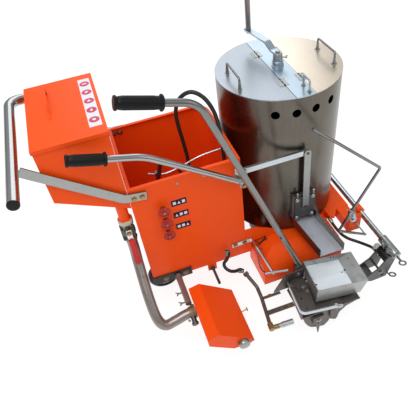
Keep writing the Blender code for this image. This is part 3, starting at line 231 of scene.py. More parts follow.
def circle(radius, sides=28):
    return [(radius * cos(2 * pi * i / sides), radius * sin(2 * pi * i / sides)) for i in range(sides)]


def rectangle(width, height):
    return [(-width / 2, -height / 2), (width / 2, -height / 2), (width / 2, height / 2),
        (-width / 2, height / 2)]


def tube(points, radius, bend, up=UP, sides=28):
    return swept(rounded(points, bend), circle(radius, sides), up)


def arc(centre, radius, start, end, steps):
    """Points on an arc, with its angles in degrees."""
    angles = [radians(start + (end - start) * i / steps) for i in range(steps + 1)]
    return [(centre[0] + radius * cos(a), centre[1] + radius * sin(a)) for a in angles]


def smooth_route(points, spacing):
    """Reads evenly spaced points from a Catmull-Rom curve through a route's own points."""
    route = [Vector(p) for p in points]
    route = [2 * route[0] - route[1]] + route + [2 * route[-1] - route[-2]]
    dense = []
    for a, b, c, d in zip(route, route[1:], route[2:], route[3:]):
        for i in range(24):
            t = i / 24
            dense.append(0.5 * ((2 * b) + (c - a) * t + (2 * a - 5 * b + 4 * c - d) * t**2
                + (3 * b - a - 3 * c + d) * t**3))
    dense.append(route[-2])
    lengths = [0.0]
    for one, two in zip(dense, dense[1:]):
        lengths.append(lengths[-1] + (two - one).length)
    count = max(int(round(lengths[-1] / spacing)), 2)
    even, at = [], 0
    for i in range(count + 1):
        goal = lengths[-1] * i / count
        while at < len(lengths) - 2 and lengths[at + 1] < goal:
            at += 1
        share = (goal - lengths[at]) / max(lengths[at + 1] - lengths[at], 1e-9)
        even.append(dense[at].lerp(dense[at + 1], min(max(share, 0.0), 1.0)))
    return even


def merged(*shapes):
    """One bmesh that holds several shapes, which may touch or run into each other."""
    whole = bmesh.new()
    for shape in shapes:
        mesh = bpy.data.meshes.new("part")
        shape.to_mesh(mesh)
        shape.free()
        whole.from_mesh(mesh)
        bpy.data.meshes.remove(mesh)
    return whole


def cut(shape, *others):
    for other in others:
        objects = []
        for source in (shape, other):
            mesh = bpy.data.meshes.new("cut")
            source.to_mesh(mesh)
            source.free()
            made = bpy.data.objects.new("cut", mesh)
            bpy.context.collection.objects.link(made)
            objects.append(made)
        modifier = objects[0].modifiers.new("cut", "BOOLEAN")
        modifier.operation = "DIFFERENCE"
        modifier.object = objects[1]
        shape = bmesh.new()
        shape.from_object(objects[0], bpy.context.evaluated_depsgraph_get())
        for made in objects:
            mesh = made.data
            bpy.data.objects.remove(made)
            bpy.data.meshes.remove(mesh)
    return shape


# ---------------------------------------------------------------- materials
def noise(tree, scale, detail=3.0, stretch=(1, 1, 1)):
    """Noise from 0 to 1 that is fixed to the piece; stretch below 1 draws it out."""
    place = tree.nodes.new("ShaderNodeTexCoord")
    mapping = tree.nodes.new("ShaderNodeMapping")
    mapping.inputs["Scale"].default_value = stretch
    texture = tree.nodes.new("ShaderNodeTexNoise")
    texture.inputs["Scale"].default_value = scale
    texture.inputs["Detail"].default_value = detail
    tree.links.new(place.outputs["Object"], mapping.inputs["Vector"])
    tree.links.new(mapping.outputs["Vector"], texture.inputs["Vector"])
    return texture.outputs["Fac"]


def mapped(tree, value, low, high, to_low, to_high):
    node = tree.nodes.new("ShaderNodeMapRange")
    node.inputs["From Min"].default_value = low
    node.inputs["From Max"].default_value = high
    node.inputs["To Min"].default_value = to_low
    node.inputs["To Max"].default_value = to_high
    tree.links.new(value, node.inputs["Value"])
    return node.outputs["Result"]


def blended(tree, share, one, two):
    """A colour between one and two; each is a colour or another node's output."""
    node = tree.nodes.new("ShaderNodeMix")
    node.data_type = "RGBA"
    tree.links.new(share, node.inputs["Factor"])
    for socket, value in ((node.inputs[6], one), (node.inputs[7], two)):
        if isinstance(value, tuple):
            socket.default_value = (*value, 1.0)
        else:
            tree.links.new(value, socket)
    return node.outputs[2]


def bumped(tree, height, distance):
    node = tree.nodes.new("ShaderNodeBump")
    node.inputs["Strength"].default_value = 1.0
    node.inputs["Distance"].default_value = distance
    tree.links.new(height, node.inputs["Height"])
    return node.outputs["Normal"]


def scaled(colour, factor):
    return tuple(min(c * factor, 1.0) for c in colour)


def surface(name, colour, rough, metallic, grain, patches=0.12, grime=None, coat=0.0, gloss=0.5):
    """A finish: patchy colour, grain as (scale, stretch, depth), and grime as (colour, share)."""
    made = bpy.data.materials.new(name)
    made.use_nodes = True
    tree = made.node_tree
    shader = tree.nodes["Principled BSDF"]
    shader.inputs["Metallic"].default_value = metallic
    shader.inputs["Coat Weight"].default_value = coat
    shader.inputs["Coat Roughness"].default_value = 0.12
    shader.inputs["Specular IOR Level"].default_value = gloss
    scale, stretch, depth = grain
    cloudy = noise(tree, 9.0, 3.0)
    fine = noise(tree, scale, 2.0, stretch)
    tint = blended(tree, mapped(tree, cloudy, 0.3, 0.7, 0, 1), scaled(colour, 1 - patches),
        scaled(colour, 1 + patches))
    tint = blended(tree, mapped(tree, fine, 0.3, 0.7, 0, 0.5), tint, scaled(colour, 1 - 1.2 * patches))
    roughness = mapped(tree, cloudy, 0.3, 0.7, rough[0], rough[1])
    if grime:
        soot, share = grime
        spots = mapped(tree, noise(tree, 22.0, 4.0), 0.62 - 0.3 * share, 0.84 - 0.3 * share, 0, 0.8)
        tint = blended(tree, spots, tint, soot)
    tree.links.new(tint, shader.inputs["Base Color"])
    tree.links.new(roughness, shader.inputs["Roughness"])
    if depth:
        tree.links.new(bumped(tree, cloudy, depth), shader.inputs["Normal"])
    return made


EVEN = (1, 1, 1)
UPRIGHT = (1, 1, 0.02)
RUNNING_X = (0.03, 1, 1)
RUNNING_Y = (1, 0.03, 1)

FINISHES = {
    "orange": ("orange_enamel", (0.91, 0.084, 0.005), (0.34, 0.42), 0.0, (60, EVEN, 0.00008), 0.03, None,
        0.0, 0.15),
    # The tank's dark brown-grey colour is a painted reflection of the ground around it.
    "tank": ("tank_stainless", (0.15, 0.134, 0.112), (0.24, 0.32), 1.0, (170, UPRIGHT, 0.0), 0.16),
    # Lids and strip are the same stainless. The rear lid's cool blue and the strip's blue are a painted sky
    # reflection, and the front lid's warm tone is a painted warm reflection.
    "lid_sky_reflection": ("lid_stainless_cool", (0.335, 0.365, 0.395), (0.3, 0.38), 1.0, (90, RUNNING_Y, 0.00015),
        0.05, ((0.3, 0.32, 0.35), 0.05)),
    "strip": ("strip_stainless", (0.42, 0.5, 0.56), (0.3, 0.38), 1.0, (90, RUNNING_Y, 0.0001), 0.05),
    "lid_warm_reflection": ("lid_stainless_warm", (0.74, 0.64, 0.52), (0.3, 0.38), 1.0, (90, RUNNING_Y, 0.0003), 0.05,
        ((0.62, 0.53, 0.44), 0.06)),
    "sheet": ("sheet_stainless", (0.125, 0.105, 0.09), (0.26, 0.34), 1.0, (90, RUNNING_X, 0.0), 0.12,
        ((0.07, 0.055, 0.045), 0.1)),
    "slate": ("slate_steel", (0.44, 0.45, 0.44), (0.32, 0.42), 0.75, (90, RUNNING_X, 0.0), 0.12,
        ((0.2, 0.195, 0.18), 0.1)),
    "chute_floor": ("chute_floor", (0.44, 0.46, 0.51), (0.3, 0.38), 0.8, (90, RUNNING_Y, 0.0), 0.08,
        ((0.2, 0.2, 0.23), 0.08)),
    "hopper_floor": ("hopper_floor", (0.86, 0.95, 1.0), (0.34, 0.42), 0.3, (90, RUNNING_X, 0.0), 0.03,
        ((0.62, 0.68, 0.74), 0.02)),
    "zinc": ("zinc_plate", (0.36, 0.375, 0.36), (0.28, 0.38), 1.0, (60, EVEN, 0.0), 0.08,
        ((0.24, 0.235, 0.21), 0.1)),
    "bright_zinc": ("bright_zinc", (0.56, 0.61, 0.64), (0.24, 0.32), 1.0, (60, EVEN, 0.0), 0.06,
        ((0.4, 0.42, 0.42), 0.06)),
    "chrome": ("polished_tube", (0.4, 0.4, 0.395), (0.14, 0.2), 1.0, (60, EVEN, 0.0), 0.04),
    "dull_tube": ("dull_tube", (0.24, 0.245, 0.235), (0.24, 0.32), 1.0, (60, EVEN, 0.0), 0.08,
        ((0.15, 0.145, 0.13), 0.08)),
    "pipe": ("feed_pipe_steel", (0.3, 0.26, 0.235), (0.28, 0.36), 0.65, (60, EVEN, 0.0), 0.1,
        ((0.16, 0.13, 0.11), 0.1)),
    "gunmetal": ("gunmetal", (0.115, 0.117, 0.113), (0.32, 0.44), 0.9, (90, EVEN, 0.00006), 0.14,
        ((0.06, 0.053, 0.045), 0.16)),
    "scorched": ("scorched_steel", (0.15, 0.13, 0.12), (0.36, 0.5), 0.75, (90, EVEN, 0.0001), 0.16,
        ((0.055, 0.045, 0.04), 0.22)),
    "black_steel": ("black_steel", (0.026, 0.025, 0.024), (0.36, 0.5), 0.4, (90, EVEN, 0.00006), 0.2,
        ((0.05, 0.045, 0.04), 0.14)),
    "rubber": ("black_rubber", (0.006, 0.006, 0.0068), (0.4, 0.5), 0.0, (120, EVEN, 0.00005), 0.2, None, 0.0,
        0.22),
    "hose": ("hose_rubber", (0.022, 0.022, 0.02), (0.36, 0.48), 0.0, (120, EVEN, 0.00005), 0.2, None, 0.0,
        0.35),
    "red": ("red_lacquer", (0.4, 0.008, 0.008), (0.28, 0.38), 0.0, (90, EVEN, 0.00005), 0.14,
        ((0.18, 0.006, 0.006), 0.16), 0.15),
    "red_sleeve": ("red_sleeve", (0.62, 0.02, 0.018), (0.36, 0.48), 0.0, (90, EVEN, 0.00005), 0.08, None,
        0.0, 0.3),
    "brass": ("brass", (0.38, 0.27, 0.12), (0.26, 0.36), 1.0, (60, EVEN, 0.0), 0.12,
        ((0.2, 0.14, 0.07), 0.14)),
    "cream": ("cream_collar", (0.58, 0.53, 0.4), (0.4, 0.52), 0.0, (90, EVEN, 0.00005), 0.1,
        ((0.34, 0.28, 0.18), 0.14)),
    "rust": ("rusty_flange", (0.27, 0.145, 0.08), (0.5, 0.68), 0.4, (120, EVEN, 0.0002), 0.22,
        ((0.36, 0.32, 0.27), 0.26)),
    "label_purple": ("label_ground", (0.016, 0.005, 0.03), (0.34, 0.42), 0.0, (90, EVEN, 0.0), 0.1, None,
        0.0, 0.15),
    "label_white": ("label_white", (0.72, 0.7, 0.78), (0.38, 0.48), 0.0, (90, EVEN, 0.0), 0.03),
    "label_red": ("label_red", (0.56, 0.02, 0.06), (0.36, 0.46), 0.0, (90, EVEN, 0.0), 0.05),
}
LOOKS = {look: surface(*row) for look, row in FINISHES.items()}


# ---------------------------------------------------------------- pieces
def put(name, mesh, look, body, bevel, sharp, stands_for):
    mesh.shade_smooth()
    mesh.set_sharp_from_angle(angle=radians(sharp))
    mesh.materials.append(LOOKS[look])
    made = bpy.data.objects.new(name, mesh)
    bpy.context.collection.objects.link(made)
    if bevel:
        modifier = made.modifiers.new("edges", "BEVEL")
        modifier.width = bevel
        modifier.segments = 2
        modifier.limit_method = "ANGLE"
        modifier.angle_limit = radians(sharp)
        modifier.harden_normals = True
    if body:
        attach(made, body)
    if stands_for:
        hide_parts(*stands_for)
    return made


def show(name, shape, look, body="frame", bevel=0.0, sharp=35, stands_for=()):
    """Makes a piece from a bmesh drawn from the kettle's axis; without a body it is attached to none."""
    mesh = bpy.data.meshes.new(name)
    shape.to_mesh(mesh)
    shape.free()
    mesh.transform(Matrix.Translation(KETTLE))
    return put(name, mesh, look, body, bevel, sharp, stands_for)


def body_of(node):
    return NODES[node]["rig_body"]


def instead(node, shape, look, bevel=0.0, sharp=35):
    """A finer piece in a CAD node's place, riding on that node's body."""
    return show(node + "_skin", shape, look, body_of(node), bevel, sharp, (node,))


def dressed(node, look, bevel=0.0008, sharp=35):
    """The CAD node's own shape with welded corners, clean flats and softened edges."""
    shape = bmesh.new()
    shape.from_mesh(NODES[node].data)
    bmesh.ops.remove_doubles(shape, verts=shape.verts, dist=0.00002)
    bmesh.ops.dissolve_limit(shape, angle_limit=radians(1.0), verts=shape.verts, edges=shape.edges)
    mesh = bpy.data.meshes.new(node + "_skin")
    shape.to_mesh(mesh)
    shape.free()
    return put(node + "_skin", mesh, look, body_of(node), bevel, sharp, (node,))


# ---------------------------------------------------------------- fasteners
def hex_bolt(place, direction, across=0.011, height=0.0055, washer=True):
    """Hexagon head with a chamfered top and a washer, its foot at place."""
    radius = across / sqrt(3)
    head = turned([(0, 0.001), (radius, 0.001), (radius, height - 0.0007), (radius * 0.86, height),
        (0, height)], 6)
    parts = [head]
    if washer:
        parts.append(turned([(0, 0), (across * 0.86, 0), (across * 0.9, 0.0006), (across * 0.86, 0.0013),
            (0, 0.0013)], 28))
    return aimed(merged(*parts), place, direction)


def domed_bolt(place, direction, radius=0.005, height=0.003):
    steps = 5
    profile = [(0, 0), (radius, 0)]
    profile += [(radius * cos(pi / 2 * i / steps), 0.0006 + height * sin(pi / 2 * i / steps))
        for i in range(steps)]
    return aimed(turned(profile + [(0, height + 0.0006)], 20), place, direction)


def wing_screw(place, direction, length=0.024, span=0.012):
    """A threaded shank from place outwards, with two rounded wings at its far end."""
    shank = turned([(0, 0), (0.0032, 0), (0.0032, length * 0.6), (0.0052, length * 0.62),
        (0.005, length * 0.85), (0.0034, length * 0.9), (0, length * 0.9)], 18)
    wings = []
    for side in (-1, 1):
        outline = [(side * 0.002, length * 0.64), (side * span, length * 0.86),
            (side * span * 1.12, length * 1.02), (side * span * 0.86, length * 1.12),
            (side * 0.003, length * 0.84)]
        wings.append(bevelled(prism(outline, "y", -0.0013, 0.0013), 0.0006, 2))
    return aimed(merged(shank, *wings), place, direction)


def fasteners(name, shapes, look, body="frame"):
    return show(name, merged(*shapes), look, body, sharp=30)


# ---------------------------------------------------------------- stage and camera
def look_from(place, yaw, pitch, roll, lens):
    """The camera: yaw from +Y towards +X, pitch down, roll clockwise, all in degrees."""
    yaw, pitch, roll = radians(yaw), radians(pitch), radians(roll)
    ahead = Vector((sin(yaw) * cos(pitch), cos(yaw) * cos(pitch), -sin(pitch)))
    level = Vector((cos(yaw), -sin(yaw), 0))
    over = level.cross(ahead)
    right = level * cos(roll) + over * sin(roll)
    top = over * cos(roll) - level * sin(roll)
    data = bpy.data.cameras.new("camera")
    data.lens = lens
    made = bpy.data.objects.new("camera", data)
    made.matrix_world = Matrix.Translation(KETTLE
        + Vector(place)) @ Matrix((right, top, -ahead)).transposed().to_4x4()
    bpy.context.collection.objects.link(made)
    bpy.context.scene.camera = made


def area_light(name, place, aim, size, power, colour=(1, 1, 1)):
    data = bpy.data.lights.new(name, "AREA")
    data.size = size
    data.energy = power
    data.color = colour
    made = bpy.data.objects.new(name, data)
    made.location = place
    made.rotation_euler = (Vector(aim) - Vector(place)).to_track_quat("-Z", "Y").to_euler()
    bpy.context.collection.objects.link(made)


def stage():
    scene = bpy.context.scene
    scene.view_settings.view_transform = "Standard"
    scene.view_settings.look = "None"
    world = bpy.data.worlds.new("studio")
    scene.world = world
    world.use_nodes = True
    tree = world.node_tree
    place = tree.nodes.new("ShaderNodeTexCoord")
    split = tree.nodes.new("ShaderNodeSeparateXYZ")
    ramp = tree.nodes.new("ShaderNodeValToRGB")
    tree.links.new(place.outputs["Generated"], split.inputs["Vector"])
    tree.links.new(mapped(tree, split.outputs["Z"], -1, 1, 0, 1), ramp.inputs["Fac"])
    tree.links.new(ramp.outputs["Color"], tree.nodes["Background"].inputs["Color"])
    stops = [(0.0, (0.3, 0.27, 0.24)), (0.47, (0.34, 0.31, 0.28)), (0.56, (0.52, 0.5, 0.48)),
        (0.72, (0.84, 0.88, 0.95)), (1.0, (1.0, 1.0, 1.0))]
    ramp.color_ramp.elements[0].position = stops[0][0]
    ramp.color_ramp.elements[1].position = stops[-1][0]
    for position, _ in stops[1:-1]:
        ramp.color_ramp.elements.new(position)
    for element, (_, colour) in zip(ramp.color_ramp.elements, stops):
        element.color = (*colour, 1.0)
    tree.nodes["Background"].inputs["Strength"].default_value = 0.62
    floor = bpy.data.materials.new("floor")
    floor.use_nodes = True
    white = floor.node_tree.nodes["Principled BSDF"]
    white.inputs["Base Color"].default_value = (0.24, 0.24, 0.24, 1)
    white.inputs["Roughness"].default_value = 0.95
    white.inputs["Specular IOR Level"].default_value = 0.0
    white.inputs["Emission Color"].default_value = (1.0, 1.0, 1.0, 1)
    white.inputs["Emission Strength"].default_value = 0.86
    mesh = bpy.data.meshes.new("floor")
    half = 9.0
    mesh.from_pydata([(-half, -half, 0), (half, -half, 0), (half, half, 0), (-half, half, 0)], [],
        [(0, 1, 2, 3)])
    mesh.materials.append(floor)
    made = bpy.data.objects.new("floor", mesh)
    bpy.context.collection.objects.link(made)
    area_light("key", (-1.0, -1.2, 3.9), (0, 0, 0.4), 2.4, 72)
    area_light("fill", (2.4, -1.6, 2.4), (0, 0, 0.4), 2.2, 12, (1.0, 0.97, 0.93))
    area_light("back", (0.6, 2.6, 2.8), (0, 0, 0.5), 2.4, 30, (0.94, 0.97, 1.0))


look_from((-0.654, -1.435, 1.789), 12.93, 44.91, -8.05, 40.13)
stage()


# ---------------------------------------------------------------- hoses
CYLINDER_HOSE = [
    (-0.384, 0.0, 0.56), (-0.384, 0.0, 0.6), (-0.386, 0.0, 0.66), (-0.392, 0.0, 0.73),
    (-0.399, 0.0, 0.8), (-0.399, -0.004, 0.865), (-0.378, -0.012, 0.915), (-0.34, -0.03, 0.938),
    (-0.303, -0.055, 0.918), (-0.28, -0.08, 0.87), (-0.27, -0.095, 0.805), (-0.268, -0.104, 0.735),
    (-0.268, -0.11, 0.66), (-0.268, -0.112, 0.62),
]
HEATER_HOSE = [
    (0.15, -0.214, 0.272), (0.151, -0.23, 0.264), (0.16, -0.258, 0.246), (0.174, -0.286, 0.228),
    (0.193, -0.308, 0.216), (0.216, -0.332, 0.213), (0.235, -0.362, 0.218), (0.244, -0.398, 0.234),
    (0.24, -0.424, 0.25), (0.236, -0.444, 0.264),
]
SHOE_HOSE = [
    (-0.331, -0.235, 0.305), (-0.329, -0.247, 0.293), (-0.34, -0.252, 0.272), (-0.356, -0.257, 0.256),
    (-0.356, -0.272, 0.244), (-0.342, -0.292, 0.24), (-0.324, -0.308, 0.25), (-0.308, -0.316, 0.262),
    (-0.296, -0.3235, 0.256),
]


def hose(node, route, diameter, moving=False):
    """A gas hose with its two end fittings; a moving one has no body, and its fittings sit on the frame and
    the shoe.
    """
    path = smooth_route(route, diameter / 4)
    body = None if moving else "frame"
    made = show(node + "_skin", swept(path, circle(diameter / 2, 24)), "hose", body,
        stands_for=(node,))
    if moving:
        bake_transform(made)
    for number, (near, inner, body) in enumerate(((0, 10, "frame"),
        (-1, -11, "shoe" if moving else "frame"))):
        direction = (path[inner] - path[near]).normalized()
        grip = diameter / 2
        profile = [(grip + 0.0004, 0.0002), (grip + 0.0026, 0.0002), (grip + 0.0026, 0.012),
            (grip + 0.0018, 0.0125), (grip + 0.0022, 0.014), (grip + 0.0016, 0.022), (grip + 0.0004, 0.022)]
        show(f"{node}_ferrule_{number + 1}", aimed(hollow(profile, 24), path[near], direction),
            "zinc", body)


hose("cylinder_hose", CYLINDER_HOSE, 0.015)
hose("heater_hose", HEATER_HOSE, 0.013, moving=True)
hose("shoe_hose", SHOE_HOSE, 0.014, moving=True)


# ---------------------------------------------------------------- chassis and boxes
def chassis():
    dressed("chassis_frame", "orange", 0.001)
    for side in ("near", "far"):
        dressed("wheel_housing_" + side, "orange", 0.003, 12)
    bar = rod((0.268, -0.53, 0.305), (0.268, 0.245, 0.305), 0.0125, 40, 0.001)
    instead("lateral_bar", bar, "bright_zinc")
    near = BOX_LOW.y - 0.0005
    bolts = [hex_bolt((x, near - 0.0002, z), NEAR, 0.01, 0.005) for x, z in ((-0.61, 0.252), (-0.404, 0.212))]
    fasteners("chassis_bolts", bolts, "zinc")
    pivot = Vector((-0.159, near, 0.3))
    lever = swept([pivot + Vector((-0.002, -0.01, -0.002)), pivot + Vector((-0.03, -0.012, -0.022)), pivot
        + Vector((-0.036, -0.012, -0.02))], rectangle(0.003, 0.008), NEAR)
    fasteners("side_latch", [rod(pivot, pivot + Vector((0, -0.012, 0)), 0.0045, 20), lever,
        domed_bolt(pivot + Vector((0, -0.012, 0)), NEAR, 0.0065, 0.003)], "gunmetal", "frame")


def gas_box():
    dressed("gas_box", "orange", 0.0012)
    near, far = BOX_LOW.y, BOX_HIGH.y
    outside = [domed_bolt((x, near, 0.722), NEAR, 0.0058) for x in (-0.477, -0.38)]
    inside = [hex_bolt((x, far - 0.0026, 0.722), NEAR, 0.013, 0.006) for x in (-0.632, -0.606)]
    fasteners("gas_box_bolts", outside + inside, "zinc")
    rear = BOX_LOW.x + 0.0005
    fold = prism([(rear, 0.7), (rear, 0.712), (BOX_LOW.x + 0.013, 0.712)], "y", near + 0.004, near + 0.012)
    show("gas_box_gusset", fold, "orange", "frame")


def bead_box():
    dressed("bead_box", "orange", 0.0012)
    dressed("bead_lid", "orange", 0.0012)
    x0, x1, y0, y1, height = -0.7, -0.66, -0.175, 0.135, 0.9967
    sticker = block((x0, y0, height - 0.0002), (x1, y1, height + 0.0006))
    show("lid_sticker", sticker, "label_white", "bead_lid", 0.0003)
    signs, marks = [], []
    for i in range(5):
        centre = Vector(((x0 + x1) / 2, y1 - 0.036 - i * 0.059, height + 0.0005))
        signs.append(aimed(turned([(0, 0), (0.0165, 0), (0.0165, 0.0006), (0, 0.0006)], 40), centre, UP))
        marks.append(sign_mark(i, centre + Vector((0, 0, 0.0006))))
    show("lid_sticker_signs", merged(*signs), "label_red", "bead_lid")
    show("lid_sticker_marks", merged(*marks), "label_white", "bead_lid")


def sign_mark(kind, place):
    """Plain shapes that stand in for pictograms: bar, square, triangle, drop and ring."""
    size = 0.0075
    outline = (
        [(-1, -0.45), (1, -0.45), (1, 0.45), (-1, 0.45)],
        [(-0.7, -0.9), (0.9, -0.2), (0.3, 0.9), (-0.8, 0.3)],
        [(-1, -0.7), (1, -0.7), (0, 1)],
        arc((0, -0.3), 0.6, 150, 390, 14) + [(0, 1.1)],
        circle(0.8, 24),
    )[kind]
    corners = [(place.x + a * size, place.y + b * size) for a, b in outline]
    return prism(corners, "z", place.z - 0.0003, place.z + 0.0004)


def name_plates():
    """Three dark plates beside the handwheels, each with three plain white marks."""
    face = BOX_LOW.y
    grounds, marks = [], []
    for row, z in enumerate((0.635, 0.575, 0.515)):
        x = -0.485
        grounds.append(block((x - 0.0285, face - 0.0008, z - 0.014), (x + 0.0285, face + 0.0003, z + 0.014)))
        for k in range(3):
            at = x - 0.017 + k * 0.017
            wide, tall = 0.0058, 0.0066
            top = [(0, tall)] if (k + row) % 3 == 1 else [(wide, tall), (-wide, tall)]
            outline = [(-wide, -tall), (wide, -tall)] + top
            marks.append(prism([(at + a, z + b) for a, b in outline], "y", face - 0.0012, face - 0.0006))
    show("name_plates", merged(*grounds), "label_purple", "frame", 0.0003)
    show("name_plate_marks", merged(*marks), "label_white", "frame")


def handwheel(number, z):
    """Red lacquered handwheel: a scalloped rim on five spokes round a small brass nut."""
    x, face = -0.547, -0.248
    rim_radius, rim_half = 0.0195, 0.0034
    rim = hollow([(rim_radius + a, b) for a, b in circle(rim_half, 12)], 96)
    for vert in rim.verts:
        angle = atan2(vert.co.y, vert.co.x)
        vert.co *= 1 + 0.04 * cos(10 * angle)
    rim = aimed(rim, (x, face, z), NEAR)
    beads = []
    for k in range(10):
        angle = 2 * pi * k / 10 + 0.31
        at = Vector((x + cos(angle) * rim_radius, face, z + sin(angle) * rim_radius))
        beads.append(domed_bolt(at + Vector((0, -0.0018, 0)), NEAR, 0.0034, 0.0026))
    spokes = []
    for k in range(5):
        angle = 2 * pi * k / 5 + 0.3
        start = Vector((x, face - 0.001, z))
        end = start + Vector((cos(angle) * rim_radius, 0.0008, sin(angle) * rim_radius))
        spokes.append(rod(start, end, 0.0024, 12, 0.0003))
    web = rod((x, face + 0.0012, z), (x, face - 0.001, z), 0.012, 36, 0.0004)
    hub = rod((x, -0.2535, z), (x, -0.24, z), 0.0062, 24)
    stem = rod((x, -0.241, z), (x, -0.218, z), 0.004, 18)
    node = f"gas_knob_{number}"
    instead(node, merged(rim, web, hub, stem, *spokes, *beads), "red")
    nut = hex_bolt((x, -0.2534, z), NEAR, 0.007, 0.0012, washer=False)
    fasteners(node + "_nut", [nut], "brass", node)


# ---------------------------------------------------------------- bead feed
def bead_feed():
    x, y = -0.6855, -0.19
    dressed("bead_outlet", "orange", 0.0008)
    collar = hollow([(0.0262, 0.5885), (0.0275, 0.59), (0.0275, 0.6045), (0.0262, 0.6065), (0.0215, 0.6075),
        (0.0215, 0.5885)], 40)
    show("outlet_collar", moved(collar, (x, y, 0)), "cream", "frame")
    rings = [
        (0.015, 0.5), (0.024, 0.5), (0.024, 0.514), (0.0205, 0.518), (0.0225, 0.524), (0.0262, 0.534),
        (0.0268, 0.546), (0.0262, 0.556), (0.0222, 0.566), (0.02, 0.571), (0.024, 0.575), (0.024, 0.588),
        (0.015, 0.588),
    ]
    body = moved(hollow(rings, 48), (x, y, 0))
    boss = merged(rod((x, y - 0.018, 0.58), (x, y - 0.042, 0.58), 0.0092, 28),
        rod((x, y - 0.041, 0.58), (x, y - 0.052, 0.58), 0.0075, 6))
    lugs = [rod((x + a * 0.024, y + b * 0.024, 0.504), (x + a * 0.024, y + b * 0.024, 0.584), 0.0042, 14)
        for a, b in ((-1, -0.3), (0.75, -0.75), (-0.2, 1), (-0.75, 0.75))]
    instead("bead_valve", merged(body, boss, *lugs), "gunmetal")
    nut = [(0.0236, 0), (0.0262, 0.0006), (0.0262, 0.012), (0.0236, 0.0126)]
    hexes = [moved(hollow(nut, 6), (x, y, z)) for z in (0.5005, 0.5745)]
    show("bead_valve_nuts", merged(*hexes), "brass", sharp=25)
    plate = block((x - 0.0095, y - 0.0558, 0.54), (x + 0.0095, y - 0.0526, 0.5925))
    show("bead_valve_plate", plate, "hopper_floor", "bead_valve_lever", 0.0012)
    sleeve = block((x - 0.0105, y - 0.0622, 0.408), (x + 0.0105, y - 0.0495, 0.553))
    instead("bead_valve_lever", bevelled(sleeve, 0.0045, 4), "red_sleeve")
    fasteners("bead_valve_stem_nut", [hex_bolt((x, y - 0.0556, 0.58), NEAR, 0.013, 0.007)], "brass",
        "bead_valve_lever")
    route = [
        (x, y, 0.4992), (x, y, 0.47), (x, y - 0.006, 0.44), (-0.688, -0.232, 0.39), (-0.689, -0.335, 0.3),
        (-0.682, -0.396, 0.24), (-0.66, -0.414, 0.207), (-0.62, -0.41, 0.206), (-0.58, -0.405, 0.213),
        (-0.537, -0.402, 0.219),
    ]
    instead("bead_feed_pipe", swept(smooth_route(route, 0.006), circle(0.0205, 40)), "pipe")
    band = hollow([(0.0207, 0), (0.0232, 0.0008), (0.0232, 0.015), (0.0207, 0.0158)], 40)
    show("feed_pipe_collar", aimed(band, (-0.556, -0.4035, 0.2165), (1, 0.07, 0.1)), "rust")


def spreader():
    dressed("bead_spreader", "orange", 0.001)
    flange = hollow([(0.0168, -0.004), (0.0262, -0.004), (0.028, -0.001), (0.028, 0.004), (0.025, 0.006),
        (0.0168, 0.006)], 40)
    show("spreader_flange", aimed(flange, (-0.537, -0.402, 0.217), (1, 0.02, 0.04)), "rust", "frame")
    stub = merged(rod((-0.548, -0.418, 0.212), (-0.548, -0.444, 0.205), 0.0105, 28),
        rod((-0.548, -0.443, 0.205), (-0.548, -0.455, 0.202), 0.0135, 28, 0.002))
    show("spreader_stub", stub, "gunmetal", "frame")
    ears = [domed_bolt((-0.542, -0.378, 0.226), (-0.3, 0.2, 1), 0.006, 0.004),
        domed_bolt((-0.566, -0.432, 0.208), (-0.6, -0.6, 0.5), 0.0055, 0.004)]
    fasteners("spreader_bolts", ears, "brass", "frame")
    low, high = corner("bead_spreader", False), corner("bead_spreader", True)
    thumb = Vector((-0.3575, -0.424, 0.129))
    knob = merged(rod(thumb, thumb + Vector((0.03, 0, 0.0075)), 0.0026, 16),
        rod(thumb + Vector((0.028, 0, 0.007)), thumb + Vector((0.034, 0, 0.0085)), 0.008, 24, 0.0015))
    show("spreader_thumbscrew", knob, "brass", "frame")
    x, near, axis = -0.394, low.y, 0.144
    cap = aimed(turned([(0, 0), (0.012, 0.0004), (0.0205, 0.003), (0.0232, 0.007), (0.0235, 0.01),
        (0.0235, 0.02), (0, 0.02)], 48), (x, near - 0.0215, axis), FAR)
    roller = turned([(0, 0), (0.0135, 0), (0.014, 0.0006), (0.014, 0.2374), (0.0135, 0.238), (0, 0.238)], 96,
        24, 0.035)
    roller = aimed(roller, (x, near + 0.006, axis), FAR)
    shaft = rod((x, near - 0.01, axis), (x, high.y + 0.004, axis), 0.005, 24)
    instead("bead_roller", merged(roller, shaft), "gunmetal")
    show("roller_cap", cap, "zinc", "bead_roller")
    corner_bolt = [domed_bolt((high.x - 0.004, near - 0.0002, 0.131), NEAR, 0.005, 0.003)]
    fasteners("spreader_cheek_bolt", corner_bolt, "brass", "frame")


